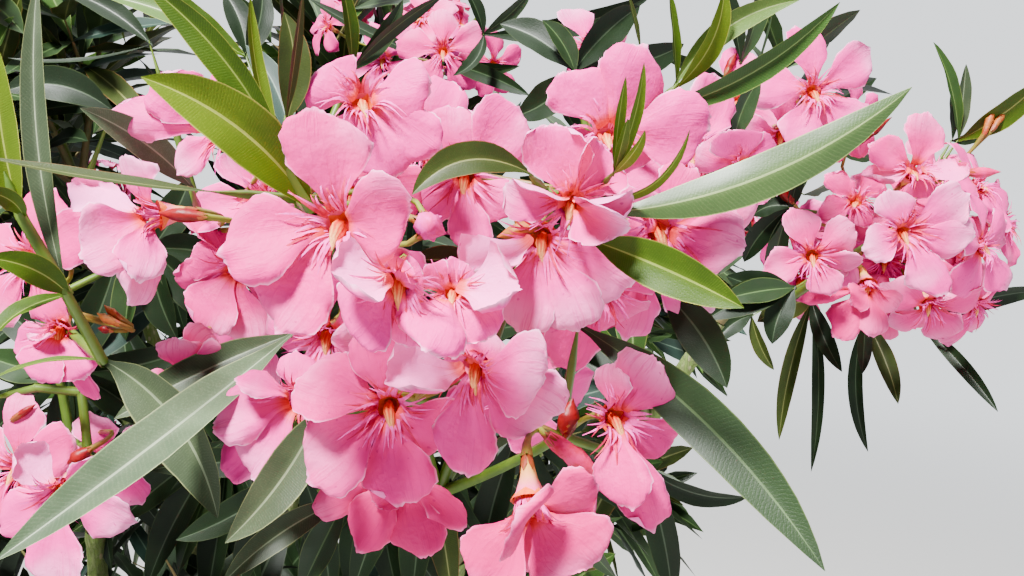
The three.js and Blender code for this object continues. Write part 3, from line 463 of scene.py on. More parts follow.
gridShapes = {  # columns and rows, and the width of a midrib
    "petal": (16, 20), "midPetal": (8, 10), "farPetal": (6, 8),
    "leaf": (7, 16, 0.05), "midLeaf": (5, 9, 0.06), "farLeaf": (3, 6, 0.07),
    "strand": (1, 5), "sepal": (2, 3),
}
tubeShapes = {  # sides and steps
    "twig": (5, 6), "throat": (10, 4), "farThroat": (5, 2), "cone": (8, 4), "bud": (6, 6),
    "stem": (20, 96), "bough": (12, 48),
}
stock = {name: gridStock(name, *size) for name, size in gridShapes.items()}
stock.update({name: tubeStock(name, *size) for name, size in tubeShapes.items()})
print("stock shapes made")

# What has been shaped so far, by piece: each entry is a stock shape's name, its points and its finish
grown = {}


def put(piece, kind, points, tone=0):
    grown.setdefault(piece, []).append((kind, points, tone))


def putTwig(piece, curve, radii, tone=0):
    put(piece, "twig", tubeShape(stock["twig"], curve, radii), tone)


def addPiece(name, mesh, nodes):
    piece = bpy.data.objects.new(name, mesh)
    bpy.context.scene.collection.objects.link(piece)
    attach(piece, "root")
    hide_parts(*nodes)
    return piece


# One object of everything that was shaped for a piece, its finishes dealt out entry by entry
def joinPiece(name, finishes, nodes):
    stack = bmesh.new()
    places, tones = [], []
    for kind, points, tone in grown[name]:
        shape = stock[kind]
        stack.from_mesh(shape["mesh"])
        places.append(points)
        tones.append(np.full(len(shape["mesh"].polygons), tone * shape["zones"], np.int32))
    mesh = bpy.data.meshes.new(name)
    stack.to_mesh(mesh)
    stack.free()
    mesh.vertices.foreach_set("co", (np.concatenate(places) * mm).astype(np.float32).ravel())
    zones = np.zeros(len(mesh.polygons), np.int32)
    mesh.polygons.foreach_get("material_index", zones)
    mesh.polygons.foreach_set("material_index", np.concatenate(tones) + zones)
    for finish in finishes:
        mesh.materials.append(finish)
    mesh.update()
    addPiece(name, mesh, nodes)
    print(name, len(grown[name]), "shapes,", sum(len(f.vertices) - 2 for f in mesh.polygons), "triangles")


# The masses of the crown, as in the solids: the bough each sits on, its middle, its reach, how many shoots it
# has and how many of them flower, and its seed
massRows = {
    "front_mass": ("front_bough", (155, -345, 1075), 100, 3, 0, 1),
    "front_left_inner_mass": ("left_front_bough", (5, -275, 1050), 90, 4, 0, 2),
    "right_mass": ("right_bough", (384, -178, 1086), 70, 4, 1, 3),
    "upper_right_mass": ("upper_right_bough", (315, -120, 1185), 70, 4, 1, 22),
    "top_mass": ("top_bough", (133, 24, 1208), 70, 4, 1, 5),
    "front_left_mass": ("front_left_bough", (-190, -290, 1050), 80, 5, 2, 6),
    "left_mass": ("left_bough", (-320, -50, 1060), 85, 5, 2, 7),
    "back_left_mass": ("back_left_bough", (-255, 215, 1070), 85, 5, 2, 8),
    "back_mass": ("back_bough", (15, 320, 1060), 85, 5, 2, 21),
    "back_right_mass": ("back_right_bough", (287, 192, 1060), 85, 5, 2, 10),
    "top_left_mass": ("top_left_bough", (-140, -35, 1200), 80, 5, 2, 11),
    "top_back_mass": ("top_back_bough", (50, 190, 1200), 75, 5, 2, 12),
    "low_front_mass": ("low_front_bough", (40, -205, 905), 75, 4, 0, 13),
    "low_left_mass": ("low_left_bough", (-240, -175, 880), 80, 4, 1, 14),
    "low_back_left_mass": ("low_back_left_bough", (-180, 250, 870), 80, 4, 1, 15),
    "low_back_right_mass": ("low_back_right_bough", (220, 180, 850), 75, 4, 0, 16),
}
massKeys = ("bough", "middle", "reach", "shoots", "flowering", "seed")
masses = {name: dict(zip(massKeys, row)) for name, row in massRows.items()}
massNames = list(masses)
middles = np.array([masses[name]["middle"] for name in massNames], float)
frontMasses = ("front_mass", "front_left_inner_mass", "right_mass", "upper_right_mass", "top_mass")

# Laid out in the picture. A bloom is x, y, away, turn, lift, roll, size, and how it holds its petals
# or the five petals themselves. A bud is its foot's x and y, its tip's x and y, away, width and colour. A
# sprig is the points of its twig, its leaves, and how thick it is where that isn't usual. A leaf is the point
# that it grows on, its tip's x, y and away, its width, its roll in degrees, its bow in mm, its green, and how
# far its edges rise where that is its own.
# Leaves laid out here in the darkest green are painted shade: a shaded copy of the leaf green, put where the
# crown lies in shade
clusters = [
    {"mass": "front_mass", "hub": (300, 200, 286), "blooms": [
        (337, 223, 218, -8, 6, 0, 58, (
            (327, 107, 2, 25, 0, 0.6), (218, 243, 6, 26, -8, 0.5), (262, 321, 4, 27),
            (386, 280, -20, 21, 0, 0.6), (413, 219, 10, 25, -8, 1.1))),
        (362, 100, 268, 6, 18, 40, 58, (
            (316, 68, 2, 25), (432, 92, 4, 26, 10, 0.5), (434, 160, 2, 22), (386, 182, 0, 22, 0, 0.6),
            (340, 160, -6, 20, 0, 0.4))),
        (398, 284, 212, 0, -28, 10, 52, (
            (333, 284, 10, 22, 146, 0.2, -0.2), (342, 328, 0, 22), (390, 344, -5, 20, 0, 0.6),
            (410, 264, 2, 11, 20, 0.3), (424, 274, 0, 11, 0, 0.4))),
        (325, 338, 300, -10, -25, 10, 54, "loose"), (262, 200, 322, -20, 10, 30, 54, "loose"),
        (352, 196, 304, 0, -10, 50, 54, "loose"),
    ], "buds": [
        (262, 140, 268, 122, 292, 5, "pink"), (416, 220, 446, 234, 266, 8.5, "blush"),
        (420, 236, 442, 216, 268, 7, "blush"), (424, 214, 434, 242, 270, 7.5, "blush"),
    ], "sprigs": [
        ([(312, 212, 232), (285, 165, 226), (262, 135, 224)], [
            (0, 141, 77, 206, 15.5, 14, 5, "young"), (1, 140, -20, 216, 9.5, -20, 5, "bright"),
            (1, 250, -6, 226, 5, 55, -3, "young"), (2, 238, 108, 220, 3, 30, 0, "young")]),
        ([(290, 142, 268), (286, 120, 266)], [
            (1, 284, 12, 262, 10, 15, -3, "olive"), (1, 303, -10, 235, 3.5, 65, 0, "olive"),
            (0, 246, 45, 290, 9, 20, 3, "blue")]),
        ([(215, 192, 240)], [(0, -14, 157, 222, 5, 50, -2, "olive")]),
        ([(292, 334, 300)], [(0, -6, 562, 216, 16, 24, -2, "grey"), (0, 114, 419, 282, 13, 20, 1, "sage")]),
        ([(246, 56, 300)], [
            (0, 100, -5, 296, 9, 20, 3, "pale"), (0, 172, -12, 290, 8, 30, -2, "bright"),
            (0, 224, -8, 306, 9, 20, 2, "darkAndShaded"), (0, 262, -14, 312, 9, 30, -2, "darkAndShaded")]),
        ([(352, 70, 300)], [
            (0, 341, -20, 292, 7, 55, 1, "bright"), (0, 403, 0, 304, 7, 30, -2, "mid"),
            (0, 446, -6, 300, 5, 45, 2, "mid")]),
    ]},
    {"mass": "front_mass", "hub": (205, 232, 338), "blooms": [
        (225, 132, 285, -24, 10, 20, 56, (
            (154, 73, 6, 22), (110, 108, 2, 17, 0, 0.7), (242, 68, 0, 20), (277, 128, 0, 16),
            (172, 168, 2, 14))),
        (152, 216, 272, -58, -8, 10, 56, (
            (66, 190, -4, 20, 130, 0.3), (127, 154, 4, 14, 30, 0.3), (76, 248, 8, 26, 10, 0.4),
            (130, 279, 12, 17, 30, 0.5), (128, 308, 2, 13, 60, 1))),
        (236, 268, 320, -20, -38, 30, 52, (
            (194, 244, 2, 24, 0, 0.4), (170, 276, 0, 14, 30, 0.5), (196, 328, 4, 26),
            (244, 348, 2, 22, 0, 0.6), (184, 203, 0, 11, -40, 0.4))),
        (180, 374, 294, -30, -40, 0, 24, (
            (183, 338, 8, 16, -30, 0.3), (145, 380, 6, 15, -40, 0.4), (232, 362, -4, 22, -40, 0.3),
            (222, 340, -8, 22, 0, 0.4), (180, 392, 4, 10, 0, 0.6))),
        (258, 318, 336, -14, -24, 40, 54, "loose"),
    ], "buds": [
        (204, 217, 158, 213, 266, 4.5, "red"),
    ], "sprigs": [
        ([(192, 188, 308)], [(0, 80, 108, 268, 11, 20, 3, "grey")]),
        ([(150, 44, 330)], [(0, 8, 58, 326, 4, 55, -5, "darkAndShaded"), (0, 60, -10, 336, 9, 20, 3, "darkAndShaded")]),
    ]},
    {"mass": "front_mass", "hub": (545, 192, 280), "blooms": [
        (540, 239, 256, -14, -14, 10, 58, (
            (464, 279, 12, 21, 146, 0.2, -0.2), (512, 335, 2, 21), (573, 337, 2, 24), (627, 300, -2, 24),
            (622, 252, -4, 20))),
        (572, 203, 226, 2, -8, 5, 50, (
            (560, 121, 6, 21, 15, 0.5, 0.35), (610, 147, 2, 20, -20, 0.4, 0.45),
            (635, 201, 10, 15, -40, 0.6, 0.7), (627, 234, 14, 16, -30, 0.7, 0.6),
            (509, 179, 6, 14, 45, 0.6, 0.6))),
        (608, 134, 262, 8, 26, 20, 58, (
            (576, 64, 2, 26), (651, 47, 4, 25), (712, 132, 2, 27, 0, 0.6), (634, 174, -4, 18),
            (560, 156, -6, 18))),
        (660, 229, 236, 8, -10, 0, 58, (
            (742, 257, 4, 24, 0, 0.6), (768, 194, -4, 21), (630, 214, 0, 15, 0, 0.4),
            (700, 172, -6, 20, 0, 0.4), (668, 284, -6, 18, 0, 0.4))),
    ], "buds": [
        (536, 226, 497, 237, 258, 5, "orange"), (532, 230, 512, 213, 262, 4.6, "orange"),
    ], "sprigs": [
        ([(592, 198, 234), (614, 172, 216)], [
            (1, 644, 62, 212, 4.2, 40, -1, "young"), (1, 626, 76, 208, 3.6, 35, 0.5, "young"),
            (1, 645, 130, 206, 3.6, 35, -1, "young"), (1, 628, 118, 204, 3, 20, 0, "bright"),
            (0, 690, 129, 205, 3.2, 50, -6, "young")], 0.55),
        ([(602, 212, 228)], [(0, 912, 87, 214, 12, -6, -7, "sheen", -0.3)]),
        ([(590, 240, 228)], [(0, 744, 308, 208, 12, 10, 1, "bright")]),
        ([(530, 176, 240)], [(0, 412, 195, 232, 10, 14, 7, "olive")]),
    ]},
    {"mass": "front_mass", "hub": (600, 196, 334), "blooms": [
        (464, 177, 290, -5, -10, 25, 58, (
            (462, 103, 2, 27), (528, 112, 0, 27, 0, 0.6), (516, 216, 2, 19, 0, 0.4),
            (420, 208, -2, 17, 0, 0.4), (470, 257, 6, 16, 0, 0.4))),
        (742, 166, 300, 30, 5, 0, 46, (
            (734, 128, 4, 22), (700, 142, 0, 18), (776, 198, 0, 18), (742, 208, 0, 18), (780, 150, 0, 16))),
        (602, 292, 290, 15, -32, 0, 56, "loose"), (690, 152, 308, 20, 10, 40, 54, "loose"),
        (648, 258, 306, 10, -20, 15, 56, "loose"), (424, 142, 322, -6, 10, 55, 54, "open"),
        (590, 46, 420, 4, 12, 20, 44, "open"),
    ], "sprigs": [
        ([(655, 110, 285), (676, 86, 280)], [
            (1, 668, -14, 276, 6, 50, 0, "bright"), (1, 724, -14, 268, 8, 30, -4, "young"),
            (1, 800, 0, 270, 8, 10, 6, "pale"), (0, 840, 2, 262, 8.5, 25, -5, "fresh")]),
        ([(574, 72, 330)], [
            (0, 542, 20, 326, 9, 20, 2, "mid"), (0, 500, 24, 340, 14, 15, 3, "darkAndShaded"),
            (0, 516, 116, 344, 14, 12, -3, "darkAndShaded"), (0, 640, 6, 344, 13, 20, 2, "darkAndShaded"),
            (0, 684, 44, 348, 13, 15, -3, "darkAndShaded")]),
        ([(662, 292, 314)], [(0, 727, 388, 300, 15, 15, 3, "darkAndShaded")]),
        ([(735, 142, 320)], [(0, 761, 78, 320, 9, 20, 2, "mid"), (0, 722, 82, 330, 9, 25, -2, "olive")]),
        ([(640, 50, 292)], [(0, 627, -8, 288, 2.6, 40, 0, "olive")]),
        ([(706, 150, 320)], [(0, 712, 84, 322, 12, 15, 2, "darkAndShaded"), (0, 752, 232, 330, 11, 20, -2, "darkAndShaded")]),
    ]},
    {"mass": "front_mass", "hub": (414, 398, 302), "blooms": [
        (388, 408, 256, 3, -4, -10, 58, (
            (378, 326, 4, 20, 0, 0.4), (298, 371, 2, 25, -15, 0.5), (302, 472, 2, 27), (398, 509, 4, 25),
            (449, 447, 2, 25, 0, 0.6))),
        (472, 369, 242, -22, -22, 15, 56, (
            (388, 388, 12, 22, 142, 0.3, -0.2), (547, 384, 4, 28, 0, 0.6), (490, 328, -4, 20),
            (552, 426, -8, 27), (456, 477, -6, 21))),
        (298, 398, 272, -24, -24, 0, 56, (
            (236, 373, 8, 13, -50, 0.5), (211, 417, 4, 22, -15, 0.5), (240, 472, 4, 24),
            (216, 474, -6, 18, 0, 0.4), (300, 350, -8, 16, 0, 0.4))),
        (402, 470, 290, 0, -50, 0, 54, (
            (351, 546, 4, 20, 0, 0.6), (420, 561, 4, 22), (463, 532, 0, 14, 50, 0.7), (306, 508, -2, 16),
            (370, 500, 8, 16, 0, 0.6))),
        (452, 291, 220, -5, 14, 20, 38, (
            (418, 348, 14, 20, 0, 0.6), (522, 284, 10, 21, -138, 0.4, -0.15), (480, 345, 4, 19),
            (425, 264, 0, 11, 40, 0.5), (468, 262, -2, 10, 0, 0.4))),
        (424, 322, 290, 10, -30, 20, 54, "loose"), (520, 392, 306, 10, -20, 50, 54, "loose"),
    ], "sprigs": [
        ([(412, 262, 302)], [(0, 486, 270, 300, 11, 10, 2, "olive")]),
        ([(322, 404, 276)], [(0, 225, 543, 240, 14, -12, -3, "sage")]),
        ([(345, 500, 300)], [(0, 222, 584, 280, 10, 10, 3, "sage"), (0, 300, 592, 300, 12, 20, 0, "mid")]),
        ([(420, 440, 336)], [
            (0, 352, 596, 338, 14, 10, 2, "darkAndShaded"), (0, 410, 606, 330, 15, 25, -2, "darkAndShaded"),
            (0, 452, 602, 336, 13, 5, 2, "olive"), (0, 500, 560, 340, 14, 15, -3, "darkAndShaded")]),
        ([(520, 430, 340)], [
            (0, 560, 600, 336, 14, 12, 3, "darkAndShaded"), (0, 618, 580, 344, 13, 25, -3, "mid"),
            (0, 480, 590, 350, 14, 12, 3, "darkAndShaded"), (0, 646, 520, 350, 12, 15, 3, "darkAndShaded")]),
        ([(228, 440, 398)], [
            (0, 146, 590, 402, 17, 15, 3, "darkAndShaded"), (0, 204, 610, 404, 17, 20, -2, "darkAndShaded"),
            (0, 118, 524, 408, 16, 15, 2, "darkAndShaded"), (0, 262, 592, 406, 16, 12, -3, "darkAndShaded"),
            (0, 178, 574, 400, 16, 25, 0, "mid")]),
        ([(380, 470, 372)], [
            (0, 350, 592, 374, 16, 14, 2, "darkAndShaded"), (0, 400, 600, 380, 16, 20, -2, "darkAndShaded"),
            (0, 300, 566, 382, 15, 15, 3, "darkAndShaded"), (0, 444, 592, 384, 15, 15, -3, "darkAndShaded")]),
        ([(300, 470, 340)], [
            (0, 236, 594, 342, 14, 12, 3, "darkAndShaded"), (0, 176, 540, 338, 13, 25, -3, "darkAndShaded"),
            (0, 330, 604, 346, 14, 12, 3, "darkAndShaded"), (0, 150, 470, 350, 12, 15, 3, "darkAndShaded")]),
    ]},
    {"mass": "front_mass", "hub": (560, 436, 282), "blooms": [
        (530, 508, 228, 6, -58, 0, 58, (
            (520, 519, 20, 24, 0, 0.9), (602, 492, 4, 19, -15, 0.7), (586, 574, 4, 28, 0, 0.4),
            (514, 574, -6, 22, 0, 0.3), (468, 583, 0, 22, 0, 0.4))),
        (617, 418, 252, 18, 4, 10, 54, (
            (616, 363, 2, 13, 50, 0.5), (665, 364, 4, 24), (673, 452, -8, 16, 0, 0.4),
            (620, 511, 8, 19, -15, 0.6), (651, 534, -4, 17))),
    ], "buds": [
        (566, 434, 573, 398, 260, 6.5, "red"), (547, 436, 604, 480, 256, 6.2, "pink"),
    ], "sprigs": [
        ([(578, 326, 268)], [(0, 825, 571, 226, 15.5, 4, 6, "mid", 0.2)]),
        ([(640, 462, 290)], [(0, 748, 497, 284, 8, 30, -4, "darkAndShaded"), (0, 672, 598, 292, 11, 20, 2, "darkAndShaded")]),
    ]},
    {"mass": "front_left_inner_mass", "hub": (40, 304, 372), "blooms": [
        (58, 332, 318, 8, -28, 20, 50, (
            (30, 380, 6, 22), (76, 383, 6, 24), (36, 342, 8, 15, 130, 0.4), (96, 404, -4, 9),
            (12, 340, -4, 14, 0, 0.4))),
        (30, 258, 328, -16, 6, 0, 56, "open"), (-48, 318, 352, -40, -5, 0, 52, "open"),
    ], "buds": [
        (118, 324, 97, 313, 336, 3.6, "orange"), (112, 330, 98, 328, 338, 3.2, "red"),
        (120, 318, 104, 305, 338, 3, "orange"),
    ], "sprigs": [
        ([(104, 362, 284), (68, 296, 268), (22, 218, 262), (6, 176, 258)], [
            (0, 218, 518, 270, 21, 12, 8, "sage"), (0, -12, 382, 268, 3.5, 62, 3, "bright"),
            (1, 38, -24, 278, 8, 10, -5, "sage"), (1, -14, 258, 248, 9, 25, 3, "bright"),
            (1, -14, 350, 246, 7, 30, 4, "bright"), (2, -4, 42, 250, 10, 12, -2, "young"),
            (2, -22, 190, 246, 6, 25, 3, "bright")]),
        ([(112, 112, 330)], [(0, 4, 92, 322, 14, 12, 6, "darkAndShaded"), (0, 6, 70, 338, 4, 60, 3, "darkAndShaded")]),
        ([(70, 372, 402)], [
            (0, -16, 300, 424, 16, 15, 3, "darkAndShaded"), (0, 36, 276, 412, 16, 10, 2, "darkAndShaded"),
            (0, 116, 262, 408, 17, 20, -2, "darkAndShaded"), (0, 170, 296, 412, 17, 12, 3, "blue"),
            (0, 196, 346, 410, 17, 15, -3, "darkAndShaded"), (0, 152, 426, 412, 17, 20, 3, "darkAndShaded"),
            (0, -20, 352, 418, 16, 20, -3, "mid"), (0, -10, 436, 414, 17, 10, 2, "darkAndShaded"),
            (0, 62, 486, 416, 17, 15, 0, "darkAndShaded"), (0, 112, 572, 410, 17, 15, 3, "darkAndShaded"),
            (0, 178, 544, 412, 17, 18, -3, "darkAndShaded")]),
        ([(150, 250, 400)], [
            (0, 214, 326, 398, 17, 15, 3, "darkAndShaded"), (0, 92, 196, 404, 16, 20, 2, "darkAndShaded"),
            (0, 190, 178, 402, 16, 10, -2, "darkAndShaded"), (0, 126, 340, 406, 16, 20, 3, "mid"),
            (0, 178, 340, 404, 17, 10, -2, "darkAndShaded"), (0, 232, 262, 400, 17, 15, 3, "darkAndShaded")]),
    ]},
    {"mass": "front_left_inner_mass", "hub": (70, 440, 382), "blooms": [
        (60, 492, 318, 6, -24, 30, 56, (
            (12, 450, 6, 18, 135, 0.4), (103, 458, 4, 14, -40, 0.5), (131, 531, 2, 20, 0, 0.4),
            (50, 592, 4, 26), (-6, 522, 2, 20))),
        (16, 468, 346, -14, 10, 0, 56, "open"), (104, 462, 356, 30, 20, 0, 42, "open"),
        (-44, 530, 356, -40, -10, 0, 52, "open"),
    ], "buds": [
        (89, 450, 67, 464, 328, 5.5, "red"), (14, 419, 36, 404, 348, 3.2, "red"),
    ], "sprigs": [
        ([(88, 448, 346), (82, 392, 350), (38, 388, 352), (-6, 398, 356)], []),
    ]},
    {"mass": "right_mass", "hub": (898, 226, 482), "blooms": [
        (812, 256, 412, -20, -4, 0, 52, (
            (796, 206, 2, 21, 0, 0.3), (859, 228, 4, 21, 0, 0.4), (863, 264, 8, 14, -40, 0.5),
            (830, 297, 4, 18, 0, 0.4), (762, 268, 2, 20, 0, 0.3))),
        (905, 232, 398, 6, -4, 20, 60, (
            (862, 247, 4, 20), (893, 188, 2, 22, 0, 0.4), (972, 196, 4, 24), (976, 240, 2, 25),
            (937, 298, 4, 21))),
        (914, 171, 428, 6, 26, 0, 56, (
            (872, 140, 4, 22), (932, 114, 2, 25), (970, 168, 8, 18, -130, 0.5), (864, 180, 6, 17, 140, 0.5),
            (920, 200, -4, 18))),
        (856, 201, 450, -18, 22, 30, 50, (
            (828, 171, 2, 15), (817, 212, 4, 17), (862, 228, 4, 15), (880, 172, 0, 16, 0, 0.4),
            (842, 178, 0, 12, 0, 0.4))),
        (868, 288, 426, -6, -44, 10, 56, (
            (832, 336, 4, 20), (868, 337, 6, 22), (896, 312, 2, 16), (797, 297, 4, 10),
            (850, 300, 8, 16, 0, 0.6))),
        (984, 246, 428, 40, 0, 0, 54, "open"), (930, 306, 442, 12, -40, 0, 52, "loose"),
        (980, 184, 462, 38, 24, 20, 50, "open"), (978, 306, 466, 26, -36, 0, 50, "loose"),
        (886, 262, 470, 0, -24, 20, 52, "loose"), (948, 224, 468, 20, 6, 30, 54, "open"),
        (838, 238, 468, -20, -6, 40, 50, "loose"), (958, 268, 470, 24, -20, 10, 52, "loose"),
        (898, 206, 462, -4, 20, 50, 52, "open"), (920, 268, 496, 4, -10, 10, 54, "open"),
        (886, 312, 476, -6, -44, 40, 52, "loose"), (1004, 222, 482, 44, 8, 30, 50, "open"),
        (936, 176, 478, 10, 34, 0, 52, "open"), (866, 232, 502, -10, 10, 20, 54, "open"),
        (786, 232, 474, -50, -6, 10, 46, "loose"), (800, 282, 470, -30, -30, 50, 46, "loose"),
    ], "buds": [
        (984, 134, 996, 106, 470, 4, "orange"), (992, 130, 1011, 103, 470, 4, "orange"),
        (856, 144, 892, 117, 440, 5, "red"), (966, 173, 1001, 172, 434, 5.5, "pink"),
        (792, 202, 769, 177, 440, 6, "red"),
    ], "sprigs": [
        ([(812, 300, 470)], [
            (0, 757, 322, 440, 15, 10, 2, "olive"), (0, 842, 372, 446, 10, 20, -2, "darkAndShaded"),
            (0, 811, 472, 462, 7, 35, -4, "darkAndShaded"), (0, 779, 440, 480, 9, 25, 3, "olive")]),
        ([(865, 320, 474)], [
            (0, 868, 452, 476, 8, 30, -6, "darkAndShaded"), (0, 898, 404, 452, 10, 15, 2, "olive"),
            (0, 862, 374, 450, 8, 15, 0, "darkAndShaded")]),
        ([(918, 322, 492)], [(0, 998, 412, 450, 8, 20, 2, "darkAndShaded"), (0, 1050, 290, 512, 12, 20, 4, "darkAndShaded")]),
        ([(958, 140, 484)], [
            (0, 933, 42, 462, 11, 25, 3, "fresh"), (0, 966, 64, 478, 9, 10, 0, "sage"),
            (0, 1048, 74, 452, 15, 15, -3, "bright")]),
        ([(790, 208, 440)], [
            (0, 800, 168, 436, 8, 15, 0, "darkAndShaded"), (0, 752, 216, 452, 12, 25, 3, "darkAndShaded"),
            (0, 744, 262, 470, 12, 15, 3, "darkAndShaded"), (0, 774, 296, 476, 11, 20, -3, "mid"),
            (0, 812, 150, 470, 11, 15, 3, "darkAndShaded")]),
        ([(794, 288, 404)], [
            (0, 706, 320, 400, 16, 10, 3, "darkAndShaded"), (0, 726, 276, 404, 14, 10, -2, "darkAndShaded"),
            (0, 772, 344, 402, 13, 20, 2, "darkAndShaded"), (0, 722, 300, 396, 12, 15, 1, "mid")]),
        ([(752, 316, 474)], [(0, 774, 370, 476, 8, 40, -2, "olive"), (0, 716, 344, 470, 12, 20, 3, "darkAndShaded")]),
        ([(952, 140, 486)], [(0, 988, 126, 486, 8, 30, -2, "darkAndShaded"), (0, 950, 96, 484, 7, 30, 0, "mid")]),
    ]},
    {"mass": "upper_right_mass", "hub": (790, 112, 462), "blooms": [
        (815, 91, 390, 4, 4, 10, 58, "open"), (738, 100, 438, -22, 8, 0, 50, "open"),
        (782, 136, 412, -4, -30, 0, 50, "loose"), (852, 120, 446, 34, -6, 0, 46, "open"),
    ], "buds": [
        (778, 98, 779, 52, 448, 6, "red"), (726, 74, 737, 52, 440, 4.6, "red"),
    ], "sprigs": [
        ([(740, 62, 440)], [(0, 708, -30, 430, 11, 20, 3, "darkAndShaded"), (0, 762, -40, 440, 12, 30, -3, "mid")]),
    ]},
    {"mass": "top_mass", "hub": (430, 62, 652), "blooms": [
        (443, 51, 590, 0, -4, 0, 58, "open"), (382, 60, 610, -26, 0, 20, 52, "open"),
        (494, 64, 622, 26, -8, 0, 48, "open"), (326, 26, 640, -40, 10, 0, 46, "open"),
        (420, 18, 616, -6, 34, 0, 50, "open"),
    ], "sprigs": [
        ([(480, 16, 604), (483, 34, 566)], [
            (1, 463, -14, 556, 10, 30, 2, "darkAndShaded"), (1, 532, -10, 552, 9, 30, -2, "mid"),
            (1, 654, -6, 520, 14, 20, -8, "darkAndShaded"), (1, 453, 76, 545, 10, 20, -6, "darkAndShaded")]),
        ([(440, 62, 606)], [
            (0, 308, -2, 590, 10, 20, -4, "darkAndShaded"), (0, 530, 96, 560, 12, 20, 3, "darkAndShaded"),
            (0, 520, 66, 585, 10, 30, -3, "mid")]),
    ]},
]

# The crown's rule: how its shoots, twigs and whorls of leaves are spaced and sized, in mm
crown = {
    "heart": (0.0, 0.0, 930.0),
    "shade": (380, 330, 330),  # half the size of the inside, where leaves more often take the darkest green, a painted shade
    "spread": 1.35,  # how widely the shoots of a mass fan out
    "arch": 12.0,  # how far a shoot bends up
    "twigRadius": (2.6, 1.5),
    "tipRadius": 0.4,
    "leafLong": 108.0,
    "leafWide": 18.0,
    "droop": 0.24,
    "firstWhorls": (0.34, 0.66, 0.96),  # how far up a shoot, as in the solids
    "moreWhorls": (0.2, 0.5, 0.82, 1.0),
    "barePast": 0.9,  # how far up a flowering shoot its whorls end
    "sideTwigs": (0.28, 0.45, 0.6, 0.78),  # how far up a shoot each leaves it
    "sideLong": 58.0,
    "sideWhorls": (0.45, 0.75, 1.0),
    "spurLong": 62.0,
    "spurWhorls": (0.3, 0.65, 1.0),
    "behindHub": 26.0,  # how far behind its laid-out clusters a mass grows by rule
    "fineWithin": 760.0,  # leaves nearer to the view than this have the finer shape
    "tries": 3,  # for a leaf or a spur, before its place stays empty
}
# How clear what grows by rule keeps of what stands there already, in mm
clear = {
    "border": 2,  # of the plane halfway between two masses
    "past": 3,  # how far it may pass its own solid
    "laid": 7,
    "limb": 12,
    "bloom": 21,
    "spurToLimb": 10,
    "spurToBloom": 24,
    "spurToBox": 12,
}
# Where spurs may fill the crown: half its size from its heart, and how it looks in the picture
inside = {
    "half": (350.0, 320.0, 330.0),
    "frame": (-40, 1060, -40, 610),  # left, right, top and bottom
    "away": 400.0,
    "cornerX": 655,  # to the right of this the picture is open but for a band that lies farther away
    "cornerY": (60, 335),
    "cornerAway": 520,
}


# The twig that leads on from a bough's tip to the fork of its mass
def rootOf(name):
    curve = boughCurve(masses[name]["bough"])
    along = alongOf(curve, 1.0)
    entry = curve[2] + along * limb["gap"]
    fork = mixed(entry, np.array(masses[name]["middle"], float), 0.4)
    return entry, entry + along * np.linalg.norm(fork - entry) * 0.45, fork


# Places along what is laid out and the twigs to the forks, how wide each is, and the mass that it belongs to
def laidSpots():
    for cluster in clusters:
        owner = massNames.index(cluster["mass"])
        for x, y, away, turn, lift, roll, size, hold in cluster["blooms"]:
            yield seen(x, y, away), size / 2, owner
        for points, leaves, *thick in cluster["sprigs"]:
            for on, x, y, away, wide, *rest in leaves:
                for t in (0, 0.2, 0.4, 0.6, 0.8, 1):
                    yield mixed(seen(*points[on]), seen(x, y, away), t), wide / 2 + 6, owner
    for owner, name in enumerate(massNames):
        for t in (0, 0.33, 0.67, 1):
            yield pointOn(rootOf(name), t), 12, owner


def limbSpots(steps=24):
    for names, curveOf, wide in ((stems, stemCurve, 13), (boughs, boughCurve, 6)):
        for name in names:
            for i in range(steps + 1):
                yield pointOn(curveOf(name), i / steps), wide, name


laidPlaces, laidWides, laidOwners = (np.array(column) for column in zip(*laidSpots()))
limbPlaces, limbWides, limbNames = (np.array(column) for column in zip(*limbSpots()))
boxes = [[np.array(corner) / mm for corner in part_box(name)] for name in massNames]
bloomPlaces = []  # the middle of every open bloom, which no leaf may cut through


def awayOf(points):
    return -(points - eye) @ toViewer


def comesNear(points, places, wide):
    return (np.linalg.norm(points[:, None] - places[None], axis=2) < wide).any()


def leavesBox(points, low, high):
    return (points < low).any() or (points > high).any()


# Whether points stay in a mass's own space and reach, behind what is laid out and clear of the limbs
def isFree(index, points, behind, withBlooms=False):
    points = np.atleast_2d(points)
    own = middles[index]
    others = np.delete(middles, index, 0)
    between = others - own
    gap = np.linalg.norm(between, axis=1)
    depth = ((points[:, None] - (own + others)[None] / 2) * between[None]).sum(2) / gap
    low, high = boxes[index]
    if (depth > -clear["border"]).any() or leavesBox(points, low - clear["past"], high + clear["past"]):
        return False
    if behind and (awayOf(points) < behind).any():
        return False
    others = laidOwners != index
    if comesNear(points, laidPlaces[others], laidWides[others] + clear["laid"]):
        return False
    others = limbNames != masses[massNames[index]]["bough"]
    if comesNear(points, limbPlaces[others], limbWides[others] + clear["limb"]):
        return False
    return not (withBlooms and bloomPlaces and comesNear(points, np.array(bloomPlaces), clear["bloom"]))


